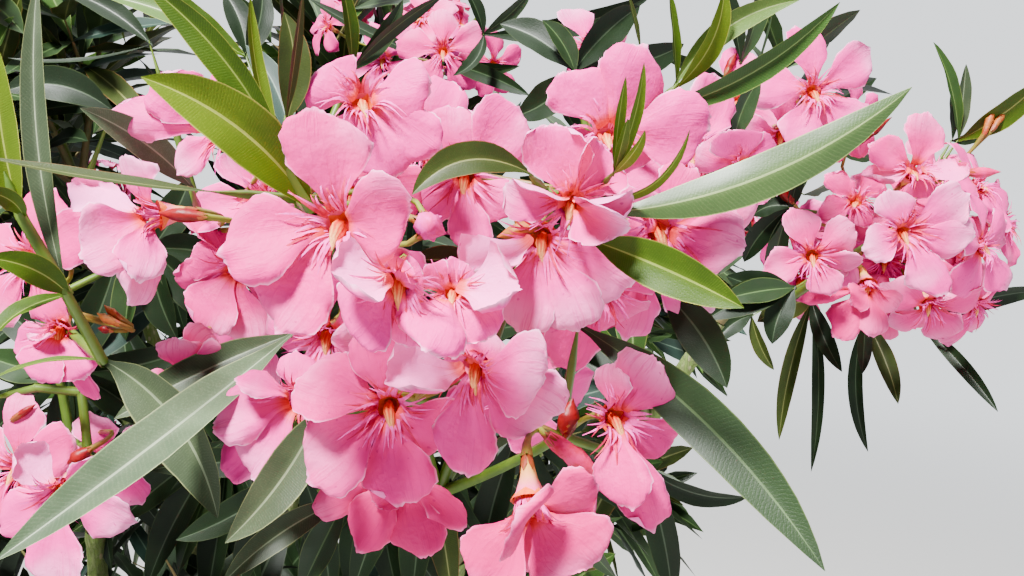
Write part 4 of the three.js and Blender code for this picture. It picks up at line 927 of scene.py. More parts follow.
# Whether points stay inside the crown, off what is laid out, and out of the picture's open corner
def isInner(points, ownLimb):
    points = np.atleast_2d(points)
    low, high = (np.array(corner) / mm for corner in cadBox)
    if leavesBox(points, low + clear["spurToBox"], high - clear["spurToBox"]):
        return False
    if (np.linalg.norm((points - np.array(crown["heart"])) / inside["half"], axis=1) > 1).any():
        return False
    away = awayOf(points)
    scale = viewpoint["focus"] / np.maximum(away, 1)
    x = viewpoint["middle"][0] + (points - eye) @ toRight * scale
    y = viewpoint["middle"][1] - (points - eye) @ toUp * scale
    left, right, top, bottom = inside["frame"]
    framed = (x > left) & (x < right) & (y > top) & (y < bottom)
    bandTop, bandBottom = inside["cornerY"]
    corner = (x > inside["cornerX"]) & ((y < bandTop) | (y > bandBottom) | (away < inside["cornerAway"]))
    if (framed & ((away < inside["away"]) | corner)).any():
        return False
    if comesNear(points, laidPlaces, laidWides + clear["laid"]):
        return False
    if comesNear(points, limbPlaces[~ownLimb], limbWides[~ownLimb] + clear["spurToLimb"]):
        return False
    return not comesNear(points, np.array(bloomPlaces), clear["spurToBloom"])


# Where the shoots of a mass aim, spread round the way out of the crown
def shootAims(mass):
    centre = np.array(mass["middle"], float)
    out = unit(centre - np.array(crown["heart"]))
    side, up = acrossOf(out)
    for s in range(mass["shoots"]):
        cos = 1 - crown["spread"] * (s + 0.5) / mass["shoots"]
        aside = around(side, up, s * goldenTurn + 0.6) * math.sqrt(1 - cos * cos)
        yield centre + (out * cos + aside) * mass["reach"]


# The finishes by their place in the lists of materials
greens = ("mid", "darkAndShaded", "bright", "young", "grey", "olive", "blue", "pale", "sage", "sheen", "fresh")
budTones = ("red", "pink", "orange", "blush", "calyx")
partTones = ("throat", "tube", "cone", "fringe", "deepFringe", "calyx")

# An open bloom, in mm where it is 58 across. Pairs of near and far say how finely each is made.
bloomForm = {
    "size": 58,
    "throatBack": (2.2, 5.0, 9.0),  # how far behind the bloom's middle the points of the throat lie
    "throatRadii": (5.3, 4.3, 2.9, 1.6, 0.2),
    "tubeFrom": 2.6,
    "tubeLong": 13.0,
    "tubeRadii": (4.9, 2.7, 1.5),
    "coneAhead": (-6.0, 0.6, 2.2),
    "coneRadii": (1.2, 1.9, 2.0, 1.3, 0.2),
    "coneSway": (4.0, 7.5),  # to either side, and down
    "strands": {"near": 9, "far": 3},  # of the fringe on each petal's claw
    "strandWide": {"near": 1.15, "far": 2.0},
    "strandFan": 62,  # degrees
    "strandFoot": (3.6, 1.6),  # out from the middle and back
    "strandLift": (6.4, 4.6),  # at its bend and its end
    "strandDown": 1.8,
    "stalkBend": {"near": 0.25, "far": 0},  # how far it passes behind, of its reach
    "calyxBack": 1.5,
    "calyxLong": 4.6,
    "calyxOut": 2.3,
    "sepalWide": 2.2,
    "stalkRadii": (0.95, 0.95, 1.25, 1.4375),
}
budForm = {
    "radii": (0.3, 0.42, 0.5, 0.56, 0.42, 0.22),  # of its width
    "endRadius": 0.1,
    "calyxLong": 4.2,
    "calyxOut": 0.36,
    "stalkRadii": (1.3, 0.9, 0.9, 1.1, 1.2),
}


# The throat, the tube behind it and the cone that stands in it
def growThroat(piece, kind, at, face, side, up, share, seed):
    scaled = lambda radii: [r * share for r in radii]
    throat = [at - face * back * share for back in bloomForm["throatBack"]]
    shape = tubeShape(stock[kind], throat, scaled(bloomForm["throatRadii"]))
    put(piece, kind, shape, partTones.index("throat"))
    back = at - face * bloomForm["tubeLong"] * share
    tube = (at - face * bloomForm["tubeFrom"] * share, mixed(at, back, 0.6), back - face)
    shape = tubeShape(stock["farThroat"], tube, scaled(bloomForm["tubeRadii"]))
    put(piece, "farThroat", shape, partTones.index("tube"))
    aside, down = bloomForm["coneSway"]
    cone = [at + face * ahead * share for ahead in bloomForm["coneAhead"]]
    cone[2] = cone[2] + (side * (chance(seed, 21) - 0.5) * aside - up * down) * share
    shape = tubeShape(stock["cone"], cone, scaled(bloomForm["coneRadii"]), spiral=0.8, lobes=2, lobeDeep=0.25)
    put(piece, "cone", shape, partTones.index("cone"))


def growStrand(piece, at, face, side, up, angle, share, wide, luck):
    out = around(side, up, angle)
    across = up * math.cos(angle) - side * math.sin(angle)
    long = (4 + 8 * luck(32)) * share * (0.55 if face[2] < -0.55 else 1)
    rise = 0.4 * luck(33) ** 2 * long
    outward, back = bloomForm["strandFoot"]
    bendLift, endLift = bloomForm["strandLift"]
    foot = at + out * outward * share - face * back * share
    bend = foot + out * long * 0.35 + face * (rise * 0.7 + bendLift * share)
    end = foot + out * long + face * (rise + endLift * share) + across * (luck(36) - 0.5) * 8 * share
    end = end - upright * bloomForm["strandDown"] * share
    tone = "deepFringe" if luck(35) > 0.72 else "fringe"
    shape = strandShape(stock["strand"], (foot, bend, end), face, wide * share, 1.4 * (luck(34) - 0.5))
    put(piece, "strand", shape, partTones.index(tone))


# Sepals round the foot of a bloom or bud, one at each angle
def growCalyx(piece, foot, way, angles, back, long, outward, wide, tone):
    side, up = acrossOf(way)
    for angle in angles:
        out = around(side, up, angle)
        start = foot - way * back + out * 0.9
        end = foot + way * long + out * outward
        curve = (start, mixed(start, end, 0.5) + out * 0.7, end)
        put(piece, "sepal", leafShape(stock["sepal"], curve, out, wide, rise=-0.3, wave=0), tone)


# An open bloom: five petals, the throat with its fringe and cone, tube, calyx and the stalk to where it hangs
def openBloom(at, face, size, roll, stalkFrom, seed, distance, hold="open", tone=None):
    near = distance == "near"
    side, up = acrossOf(face)
    share = size / bloomForm["size"]
    if tone is None:
        # Far blooms may take the rose pink, a painted shade
        tone = int(chance(seed, 3) * (1.6 if near else 2.3))
    laid = not isinstance(hold, str)
    kind = ("petal" if laid else "midPetal") if near else "farPetal"
    away = awayOf(at)
    for k in range(5):
        luck = lambda which: chance(seed, k, which, 77)
        angle = math.radians(roll + 90 + 72 * k + 12 * (chance(seed, k, 8) - 0.5))
        if laid:
            shape = layPetal(kind, at, away, hold[k], luck)
        else:
            shape = growPetal(kind, at, side, up, face, angle, size, hold, luck)
        put(distance + "_petals", kind, shape, tone)
    parts = distance + "_bloom_parts"
    growThroat(parts, "throat" if near else "farThroat", at, face, side, up, share, seed)
    strands = bloomForm["strands"][distance]
    for k in range(5):
        for j in range(strands):
            luck = lambda which: chance(seed, k, j, which)
            fan = (j + 0.5 - strands / 2) * bloomForm["strandFan"] / strands
            angle = math.radians(roll + 90 + 72 * k + fan + 9 * (luck(31) - 0.5))
            growStrand(parts, at, face, side, up, angle, share, bloomForm["strandWide"][distance], luck)
    foot = at - face * (bloomForm["tubeLong"] + bloomForm["calyxBack"]) * share
    growCalyx(parts, foot, face, [math.radians(roll + 54 + 72 * k) for k in range(5)], 1.2,
              bloomForm["calyxLong"] * share, bloomForm["calyxOut"] * share, bloomForm["sepalWide"] * share,
              partTones.index("calyx"))
    reach = np.linalg.norm(foot - stalkFrom)
    behind = toViewer * reach * bloomForm["stalkBend"][distance]
    stalk = (foot + face * 0.5, foot - face * min(12.0, reach * 0.4) - upright - behind, stalkFrom)
    putTwig("stalks", stalk, [1.9 * share, *bloomForm["stalkRadii"]])
    bloomPlaces.append(at)


def closedBud(at, way, long, wide, stalkFrom, tone, seed):
    foot = at - way * long / 2
    curve = (foot, at + acrossOf(way)[0] * 0.8, at + way * long / 2)
    radii = [wide * share for share in budForm["radii"]] + [budForm["endRadius"]]
    put("buds", "bud", tubeShape(stock["bud"], curve, radii, spiral=2.2, lobes=3, lobeDeep=0.16), tone)
    growCalyx("buds", foot, way, [fifthTurn * k + seed for k in range(5)], 1.5, budForm["calyxLong"],
              wide * budForm["calyxOut"], bloomForm["sepalWide"], budTones.index("calyx"))
    reach = np.linalg.norm(foot - stalkFrom)
    stalk = (foot, foot - way * reach * 0.3 - toViewer * reach * 0.2, stalkFrom)
    putTwig("stalks", stalk, budForm["stalkRadii"])


# A leaf that grows by rule, where it finds room. Those inside the crown mostly take the darkest green, a
# painted shade.
def growLeaf(isClear, at, along, way, length, droop, wide, key, darkAndShaded):
    luck = lambda kind: chance(*key, kind)
    tip = at + way * length - upright * droop * length
    across = unit(np.cross(along, tip - at))
    half = mixed(at, tip, 0.45)
    marks = [mixed(at, tip, t) for t in (0.25, 0.45, 0.7, 1)]
    marks += [half + across * wide / 2, half - across * wide / 2]
    if not isClear(marks):
        return False
    # The darkest green, a painted shade, goes to leaves deep in the crown and to those pulled towards it
    depth = np.linalg.norm((half - np.array(crown["heart"])) / crown["shade"])
    shadow = luck(61) + darkAndShaded
    if shadow > depth * 1.15:
        green = "darkAndShaded"
    elif shadow < 0.55:
        green = "mid"
    else:
        green = ("fresh", "blue", "olive")[int(luck(62) * 3)]
    close = np.linalg.norm(half - eye) < crown["fineWithin"]
    piece, kind = ("middle_leaves", "midLeaf") if close else ("far_leaves", "farLeaf")
    shape = leafShape(stock[kind], (at, at + way * length * 0.52, tip), along, wide,
                      rise=0.12 + 0.2 * luck(63), wave=0.1, turn=0.7 * (luck(64) - 0.5),
                      phase=leafForm["phases"] * luck(65))
    put(piece, kind, shape, greens.index(green))
    return True


# Three leaves round one point of a curve, leaning off it by degrees
def growWhorl(isClear, curve, t, lean, turn, length, wide, key, darkAndShaded=0.0):
    at, along = pointOn(curve, t), alongOf(curve, t)
    side, up = acrossOf(along)
    for k in range(3):
        for attempt in range(crown["tries"]):
            luck = lambda kind: chance(*key, k, kind, attempt)
            angle = turn + k * thirdTurn + 0.5 * luck(6) - 0.25
            way = leaned(along, side, up, math.radians(lean + 24 * luck(2)), angle)
            long = length * (0.8 + 0.3 * luck(3))
            broad = wide * (0.88 + 0.24 * luck(7))
            droop = crown["droop"] * (1.2 - t)
            if growLeaf(isClear, at, along, way, long, droop, broad, (*key, k, attempt), darkAndShaded):
                break


# A short branch off a curve, or nothing where it has no room
def branchOff(isClear, curve, t, forward, turn, long, rise):
    at, along = pointOn(curve, t), alongOf(curve, t)
    way = unit(along * forward + around(*acrossOf(along), turn))
    end = at + way * long + upright * rise
    return (at, at + way * long * 0.5, end) if isClear([mixed(at, end, 0.6), end]) else None


# A flowering shoot's end: a bloom in the middle, four round it, five farther out, and buds between them
head = {
    "tilts": (0.12, *[0.72] * 4, *[1.28] * 5),  # radians off the shoot's own way
    "size": 54.0,
    "rim": 0.46,  # of its size, where a bloom has to be clear
    "nod": 0.15,
    "buds": 5,
    "budWide": 4.2,
}


def growHead(index, number, aim, out, behind):
    seed = masses[massNames[index]]["seed"]
    across = acrossOf(out)
    firstTurn = fullTurn * chance(seed, number, 4)
    grew = False
    for b, tilt in enumerate(head["tilts"]):
        luck = lambda kind: chance(seed, number, b, kind)
        step = b * fullTurn / 4 if b < 5 else (b + 0.5) * fullTurn / 5
        turn = firstTurn + step + 0.5 * (luck(40) - 0.5)
        face = leaned(out, *across, tilt + 0.45 * (luck(41) - 0.5), turn)
        at = aim + face * (22 + 22 * luck(42))
        size = head["size"] * (0.78 + 0.26 * luck(43))
        rim = [at + around(*acrossOf(face), a) * size * head["rim"] for a in np.linspace(0, fullTurn, 9)[:8]]
        if isFree(index, rim, behind):
            sway = np.array([luck(k) - 0.5 for k in (37, 38, 39)]) * 0.9
            openBloom(at, unit(face + sway - upright * head["nod"]), size, 72 * luck(5), aim + face * 1.5,
                      seed * 100 + number * 13 + b, "far")
            grew = True
    for b in range(head["buds"]):
        luck = lambda kind: chance(seed, number, b, kind)
        way = leaned(out, *across, 0.5 + 0.7 * luck(44), firstTurn + 0.6 + b * fifthTurn)
        at = aim + way * (30 + 12 * luck(45))
        if isFree(index, at + way * 10, behind):
            closedBud(at, way, 16 + 8 * luck(46), head["budWide"], aim, b % 2, b)
    return grew


def growShoot(index, number, curve, flowers, behind):
    seed = masses[massNames[index]]["seed"]
    aim = curve[2]
    blooms = flowers and growHead(index, number, aim, unit(aim - middles[index]), behind)
    low, high = crown["twigRadius"]
    radii = [low, mixed(low, high, 0.5), high if blooms else crown["tipRadius"]]
    putTwig("twigs", curve, radii, int(chance(seed, number, 51) > 0.5))
    return fullTurn * chance(seed, number, 1), blooms


def dressShoot(index, number, curve, behind, firstTurn, blooms):
    seed = masses[massNames[index]]["seed"]
    length, wide = crown["leafLong"], crown["leafWide"]
    isClear = lambda points: isFree(index, points, behind, withBlooms=True)
    whorls = [(t, 76 - 40 * t, w, length, wide) for w, t in enumerate(crown["firstWhorls"])]
    whorls += [(t, 72 - 46 * t, w + 0.5, length * (0.95 - 0.25 * (t > crown["barePast"])), wide * 0.9)
               for w, t in enumerate(crown["moreWhorls"])]
    for w, (t, lean, step, long, broad) in enumerate(whorls):
        if not blooms or t <= crown["barePast"]:
            growWhorl(isClear, curve, t, lean, firstTurn + step * sixthTurn, long, broad, (seed, number, w))
    for j, t in enumerate(crown["sideTwigs"]):
        turn = firstTurn + (j + 1) * goldenTurn
        long = crown["sideLong"] * (0.8 + 0.4 * chance(seed, number, j, 52))
        branch = branchOff(isClear, curve, t, 0.75, turn, long, 6.0)
        if not branch:
            continue
        putTwig("twigs", branch, [1.9, 1.5, 1.1, crown["tipRadius"]], int(chance(seed, number, j, 53) > 0.4))
        for w, u in enumerate(crown["sideWhorls"]):
            growWhorl(isClear, branch, u, 70 - 38 * u, turn + w * sixthTurn, length * (0.8 - 0.12 * w),
                      wide * 0.88, (seed, number, j + 10, w))


# Leafy spurs on the boughs and the upper stems, which fill the inside of the crown with leaves mostly in the
# darkest green, a painted shade
def growSpurs(curve, name, seed, start, count=6):
    isClear = lambda points: isInner(points, limbNames == name)
    for j in range(count):
        t = start + (1 - start) * (j + 0.6) / count
        for attempt in range(crown["tries"]):
            turn = (j + 2.3 * attempt) * goldenTurn + seed
            long = crown["spurLong"] * (0.7 + 0.6 * chance(seed, j, 81, attempt))
            branch = branchOff(isClear, curve, t, 0.55, turn, long, 10.0)
            if branch:
                break
        else:
            continue
        putTwig("twigs", branch, [2.2, 1.7, 1.2, crown["tipRadius"]])
        for w, u in enumerate(crown["spurWhorls"]):
            length = crown["leafLong"] * (1 - 0.2 * u)
            growWhorl(isClear, branch, u, 78 - 46 * u, turn + w * sixthTurn, length, crown["leafWide"],
                      (seed, j + 50, w), darkAndShaded=0.45)


# A cluster as laid out, on its twig from the fork of the mass
def growCluster(cluster, start, number):
    hub = seen(*cluster["hub"])
    curve = (start, mixed(start, hub, 0.6) + np.array([0, 8.0, -6.0]), hub)
    putTwig("twigs", curve, [crown["twigRadius"][0], 2.1, 1.9, 1.8], 1)
    for b, (x, y, away, turn, lift, roll, size, hold) in enumerate(cluster["blooms"]):
        at = seen(x, y, away)
        tone = 2 if lift < -41 else 1 if lift < -30 else None  # what hangs takes the deeper pinks, a painted shade
        openBloom(at, facing(turn, lift), size, roll, hub + unit(at - hub) * 1.5,
                  5000 + number * 31 + b, "near", hold, tone)
    for i, (x, y, tipX, tipY, away, wide, tone) in enumerate(cluster.get("buds", [])):
        foot, tip = seen(x, y, away), seen(tipX, tipY, away)
        long = np.linalg.norm(tip - foot)
        closedBud((foot + tip) / 2, unit(tip - foot), long, wide, hub, budTones.index(tone), i)
    for i, sprig in enumerate(cluster["sprigs"]):
        growSprig(hub, number * 17 + i, *sprig)


sprigRadii = {"between": (2.0, 1.9, 1.8), "last": (1.9, 1.7, 1.5, 0.2)}


def growSprig(hub, seed, places, leaves, thick=1.0):
    points = [hub] + [seen(*place) for place in places]
    for i in range(1, len(points)):
        a, c = points[i - 1:i + 1]
        radii = sprigRadii["between" if i < len(points) - 1 else "last"]
        putTwig("twigs", (a, mixed(a, c, 0.5), c + unit(c - a) * 1.5), [r * thick for r in radii], 1)
    for k, (on, *leaf) in enumerate(leaves):
        layLeaf(points[on + 1], leaf, lambda kind: chance(seed, k, kind))


def layLeaf(start, row, luck):
    x, y, away, wide, roll, bow, green, *rise = row
    tip = seen(x, y, away)
    axis = unit(tip - start)
    across = np.cross(axis, toViewer)
    rising = unit(across) if across @ toUp >= 0 else -unit(across)
    a = math.radians(roll)
    blade = toViewer * math.cos(a) + across * math.sin(a) + axis * (axis @ toViewer) * (1 - math.cos(a))
    arch = 0.05 * np.linalg.norm(tip - start) * luck(71)
    bend = mixed(start, tip, 0.5) + rising * bow * 2 + blade * arch
    shape = leafShape(stock["leaf"], (start - axis * 1.2, bend, tip), blade, wide,
                      rise=rise[0] if rise else 0.26 + 0.16 * luck(72), wave=0.05,
                      turn=0.35 * (luck(73) - 0.5), phase=leafForm["phases"] * luck(74))
    put("near_leaves", "leaf", shape, greens.index(green))


def growCrown():
    shoots = []
    for index, name in enumerate(massNames):
        mass = masses[name]
        root = rootOf(name)
        fork = root[2]
        putTwig("twigs", root, [4.0, 3.6, 3.0, 2.8])
        own = [cluster for cluster in clusters if cluster["mass"] == name]
        behind = max(cluster["hub"][2] for cluster in own) + crown["behindHub"] if own else 0
        for cluster in own:
            growCluster(cluster, fork, clusters.index(cluster))
        for number, aim in enumerate(shootAims(mass)):
            start = fork + unit(aim - fork) * 2
            curve = (start, mixed(start, aim, 0.5) + upright * crown["arch"], aim)
            if isFree(index, pointOn(curve, np.array([0.4, 0.6, 0.8, 1.0])), behind):
                made = growShoot(index, number, curve, number < mass["flowering"], behind)
                shoots.append((index, number, curve, behind, *made))
    for shoot in shoots:  # the leaves come last, so that they keep clear of every bloom
        dressShoot(*shoot)
    for seed, name in enumerate(boughs):
        growSpurs(boughCurve(name), name, 300 + seed, 0.25)
    for seed, name in enumerate(stems):
        growSpurs(stemCurve(name), name, 400 + seed, 0.6)


growCrown()
print("crown grown:", {name: len(entries) for name, entries in grown.items()})


# How far bark stands out at an angle round a limb and a distance along it: coarse ridges and finer ones
def barkGrain(angle, along, seed):
    c, s = math.cos(angle), math.sin(angle)
    coarse = noise.noise(Vector((c * 2.6, s * 2.6, along * 0.018 + seed * 7)))
    return coarse + 0.5 * noise.noise(Vector((c * 6, s * 6, along * 0.05 + seed * 3)))


def addBark(points, shape, curve, relief, scarEvery, seed):
    ring = shape["ring"]
    centres = pointOn(curve, np.linspace(0, 1, shape["steps"] + 1))
    reach = np.concatenate([[0], np.cumsum(np.linalg.norm(np.diff(centres, axis=0), axis=1))])
    out = points - centres[ring]
    wide = np.linalg.norm(out, axis=1, keepdims=True)
    grain = np.array([barkGrain(a, reach[r], seed) for a, r in zip(shape["angle"], ring)])
    near = np.abs((reach[ring] / scarEvery + 0.3 * seed) % 1.0 - 0.5) * scarEvery
    scar = limb["scarRelief"] * np.exp(-(near / limb["scarWide"]) ** 2)
    return points + out / wide * (relief * grain + scar * np.minimum(1, wide[:, 0] / 9))[:, None]


def growLimbs():
    for seed, (name, stem) in enumerate(stems.items()):
        shape, curve = stock["stem"], stemCurve(name)
        marks = np.linspace(0, 1, shape["steps"] + 1)
        wide = mixed(*stem["radius"], marks) + limb["flare"] * np.maximum(0, 1 - marks * 9) ** 2
        points = tubeShape(shape, curve, wide)
        points[shape["ring"] == 0, 2] = soilLevel - limb["setIn"]
        put("stems", "stem", addBark(points, shape, curve, limb["barkRelief"], limb["scarEvery"], seed))
    for seed, name in enumerate(boughs):
        shape, curve = stock["bough"], boughCurve(name)
        marks = np.linspace(0, 1, shape["steps"] + 1)
        wide = mixed(*limb["boughRadius"], marks) + limb["boughCollar"] * np.exp(-marks / 0.05)
        points = tubeShape(shape, curve, wide)
        points = addBark(points, shape, curve, limb["barkRelief"] * 0.5, limb["boughScarEvery"], seed + 10)
        put("boughs", "bough", points)


growLimbs()
print("limbs grown")


def tint(red, green, blue):
    def linear(c):
        c /= 255
        return c / 12.92 if c <= 0.04045 else ((c + 0.055) / 1.055) ** 2.4
    return (linear(red), linear(green), linear(blue), 1.0)


def shaded(shade, share):
    return [share * c for c in shade]


# Sets a socket to a constant or links it to what drives it
def feed(tree, value, socket):
    if isinstance(value, (int, float, tuple)):
        socket.default_value = value
    else:
        tree.links.new(value, socket)


def newGroup(name, inputs, outputs):
    group = bpy.data.node_groups.new(name, "ShaderNodeTree")
    for label, value in inputs.items():
        socket = group.interface.new_socket(label, in_out="INPUT", socket_type="NodeSocketFloat")
        socket.default_value = value
    for label in outputs:
        group.interface.new_socket(label, in_out="OUTPUT", socket_type="NodeSocketFloat")
    return group, group.nodes.new("NodeGroupInput"), group.nodes.new("NodeGroupOutput")


def giveOut(group, give, **values):
    for label, value in values.items():
        group.links.new(value, give.inputs[label])
    return group


def mathNode(tree, operation, *values):
    node = tree.nodes.new("ShaderNodeMath")
    node.operation = operation
    for value, socket in zip(values, node.inputs):
        feed(tree, value, socket)
    return node.outputs[0]


def times(tree, a, b):
    return mathNode(tree, "MULTIPLY", a, b)


def fromHalf(tree, value):
    return mathNode(tree, "ABSOLUTE", mathNode(tree, "SUBTRACT", value, 0.5))


def ramped(tree, value, low, high, toLow=0.0, toHigh=1.0):
    node = tree.nodes.new("ShaderNodeMapRange")
    node.interpolation_type = "SMOOTHSTEP"
    tree.links.new(value, node.inputs["Value"])
    for label, number in (("From Min", low), ("From Max", high), ("To Min", toLow), ("To Max", toHigh)):
        node.inputs[label].default_value = number
    return node.outputs[0]


def noised(tree, vector, scale, detail=4.0, rough=0.6):
    node = tree.nodes.new("ShaderNodeTexNoise")
    for value, label in ((vector, "Vector"), (scale, "Scale"), (detail, "Detail"), (rough, "Roughness")):
        feed(tree, value, node.inputs[label])
    return node.outputs["Fac"]


def celled(tree, vector, scale):
    node = tree.nodes.new("ShaderNodeTexVoronoi")
    feed(tree, vector, node.inputs["Vector"])
    feed(tree, scale, node.inputs["Scale"])
    return node.outputs["Distance"]


def objectPlace(tree, stretch=None):
    place = tree.nodes.new("ShaderNodeTexCoord").outputs["Object"]
    if stretch is None:
        return place
    mapping = tree.nodes.new("ShaderNodeMapping")
    tree.links.new(place, mapping.inputs["Vector"])
    mapping.inputs["Scale"].default_value = stretch
    return mapping.outputs["Vector"]


def heightIn(tree):
    split = tree.nodes.new("ShaderNodeSeparateXYZ")
    tree.links.new(objectPlace(tree), split.inputs[0])
    return split.outputs["Z"]


def uvPlace(tree):
    node = tree.nodes.new("ShaderNodeUVMap")
    node.uv_map = "map"
    split = tree.nodes.new("ShaderNodeSeparateXYZ")
    tree.links.new(node.outputs["UV"], split.inputs[0])
    return split.outputs["X"], split.outputs["Y"]


# Soft clouds of light and dark over a piece
def makeClouds():
    group, take, give = newGroup("clouds", {"Scale": 9.0}, ["Cloud"])
    cloud = noised(group, objectPlace(group), take.outputs["Scale"])
    return giveOut(group, give, Cloud=ramped(group, cloud, 0.32, 0.68))


# A leaf's own figure: side veins that run out and forward from the midrib, the net between them, its edge
def makeLeafFigure():
    group, take, give = newGroup("leafFigure", {"Veins": 46.0, "Slant": 6.0}, ["Vein", "Edge", "Fold", "Net"])
    u, v = uvPlace(group)
    off = fromHalf(group, u)
    wander = noised(group, objectPlace(group), 160.0, 3.0)
    run = times(group, v, take.outputs["Veins"])
    phase = mathNode(group, "SUBTRACT", run, times(group, off, take.outputs["Slant"]))
    phase = mathNode(group, "ADD", phase, times(group, wander, 1.3))
    wave = fromHalf(group, mathNode(group, "FRACT", phase))
    vein = times(group, ramped(group, wave, 0.2, 0.5), ramped(group, wander, 0.3, 0.62, 0.25, 1.0))
    net = ramped(group, celled(group, objectPlace(group), 1500.0), 0.1, 0.6)
    edge, fold = ramped(group, off, 0.465, 0.495), ramped(group, off, 0.16, 0.02)
    return giveOut(group, give, Vein=vein, Edge=edge, Fold=fold, Net=net)


# A petal's own figure: lengthwise lines that fan from the claw, its pale rim, its paler outer part and its
# deep foot; the rim and the paler outer part are partly painted highlight
def makePetalFigure():
    group, take, give = newGroup("petalFigure", {"Lines": 16.0}, ["Line", "Rim", "Foot", "Streak", "Pale"])
    u, v = uvPlace(group)
    join = group.nodes.new("ShaderNodeCombineXYZ")
    group.links.new(times(group, u, take.outputs["Lines"]), join.inputs["X"])
    group.links.new(times(group, v, 1.6), join.inputs["Y"])
    lines = noised(group, join.outputs[0], 1.0, 3.0, 0.7)
    side = times(group, ramped(group, fromHalf(group, u), 0.455, 0.5), ramped(group, v, 0.25, 0.6))
    rim = mathNode(group, "MAXIMUM", side, ramped(group, v, 0.93, 1.0))
    broad = ramped(group, noised(group, objectPlace(group), 17.0, 2.0), 0.46, 0.6)
    pale = times(group, ramped(group, v, 0.35, 0.95), broad)
    streak = times(group, ramped(group, v, 0.46, 0.12), ramped(group, lines, 0.52, 0.62))
    line, foot = ramped(group, lines, 0.5, 0.68), ramped(group, v, 0.25, 0.08)
    return giveOut(group, give, Line=line, Rim=rim, Foot=foot, Streak=streak, Pale=pale)


# Bark: fine lengthwise fissures and paler corky dots
def makeBarkFigure():
    group, take, give = newGroup("barkFigure", {"Grain": 1.0}, ["Fissure", "Dot"])
    scale = times(group, take.outputs["Grain"], 420.0)
    long = noised(group, objectPlace(group, (1, 1, 0.16)), scale, 6.0, 0.65)
    dots = celled(group, objectPlace(group, (1, 1, 0.55)), 210.0)
    return giveOut(group, give, Fissure=ramped(group, long, 0.42, 0.62), Dot=ramped(group, dots, 0.26, 0.12))


# Fired clay and crumbs: grit, and the pale bloom that dries out on damp clay
def makeGrit():
    group, take, give = newGroup("grit", {"Fine": 900.0, "Broad": 14.0}, ["Grit", "Patch"])
    fine = noised(group, objectPlace(group), take.outputs["Fine"], 3.0)
    broad = noised(group, objectPlace(group), take.outputs["Broad"], 7.0, 0.7)
    return giveOut(group, give, Grit=ramped(group, fine, 0.4, 0.7), Patch=ramped(group, broad, 0.5, 0.72))


clouds = makeClouds()
leafFigure = makeLeafFigure()
petalFigure = makePetalFigure()
barkFigure = makeBarkFigure()
grit = makeGrit()


def placed(tree, group, **values):
    node = tree.nodes.new("ShaderNodeGroup")
    node.node_tree = group
    for label, value in values.items():
        node.inputs[label].default_value = value
    return node.outputs


def cloudIn(tree, scale):
    return placed(tree, clouds, Scale=scale)["Cloud"]


def blended(tree, factor, a, b, amount=1.0):
    if amount != 1.0:
        factor = times(tree, factor, amount)
    node = tree.nodes.new("ShaderNodeMix")
    node.data_type = "RGBA"
    tree.links.new(factor, node.inputs[0])
    feed(tree, a, node.inputs[6])
    feed(tree, b, node.inputs[7])
    return node.outputs[2]


# A finish's colour: a first one and others over it, each with where it lies and how strongly
def paint(tree, shader, first, *layers):
    colour = tint(*first)
    for where, over, amount in layers:
        colour = blended(tree, where, colour, tint(*over), amount)
    tree.links.new(colour, shader.inputs["Base Color"])


def newFinish(name, rough, specular, sheen=0.0, coat=0.0):
    finish = bpy.data.materials.new(name)
    finish.use_nodes = True
    shader = finish.node_tree.nodes["Principled BSDF"]
    shader.inputs["Roughness"].default_value = rough
    shader.inputs["Specular IOR Level"].default_value = specular
    shader.inputs["Sheen Weight"].default_value = sheen
    shader.inputs["Coat Weight"].default_value = coat
    shader.inputs["Coat Roughness"].default_value = 0.3
    return finish, finish.node_tree, shader


def setBump(tree, shader, height, distance, strength):
    bump = tree.nodes.new("ShaderNodeBump")
    bump.inputs["Distance"].default_value = distance
    bump.inputs["Strength"].default_value = strength
    tree.links.new(height, bump.inputs["Height"])
    tree.links.new(bump.outputs["Normal"], shader.inputs["Normal"])


# The greens of the leaves: blade, its darker clouds, veins and edge, and how much it shines
leafGreens = {
    "mid": ((34, 56, 22), (24, 42, 17), (58, 82, 38), (84, 100, 48), 0.2),
    # The darkest green is painted shade: a shaded copy of the leaf green
    "darkAndShaded": ((21, 37, 15), (14, 27, 11), (34, 52, 25), (48, 60, 30), 0.04),
    "bright": ((68, 92, 9), (46, 70, 7), (108, 124, 34), (140, 140, 50), 0.0),
    "young": ((92, 112, 10), (68, 90, 8), (134, 144, 42), (160, 158, 66), 0.0),
    "grey": ((90, 106, 78), (54, 72, 48), (120, 134, 104), (140, 150, 108), 0.1),
    "olive": ((52, 64, 18), (36, 46, 14), (90, 94, 40), (116, 80, 42), 0.02),
    "blue": ((40, 62, 52), (28, 48, 40), (66, 88, 72), (84, 104, 80), 0.1),
    "pale": ((92, 118, 50), (70, 98, 40), (132, 150, 90), (150, 162, 88), 0.04),
    "sage": ((68, 80, 54), (44, 56, 36), (100, 112, 80), (124, 130, 84), 0.06),
    "sheen": ((74, 98, 46), (54, 80, 34), (130, 148, 90), (150, 168, 92), 0.22),
    "fresh": ((50, 82, 24), (36, 64, 18), (96, 122, 52), (120, 138, 60), 0.08),
}
# How strongly each of its marks shows on a leaf, how many veins it has and how far they stand out in metres
leafLook = {"rough": 0.5, "veins": 74.0, "vein": 0.14, "net": 0.38, "fold": 0.12, "edge": 0.8,
            "relief": 0.00009}


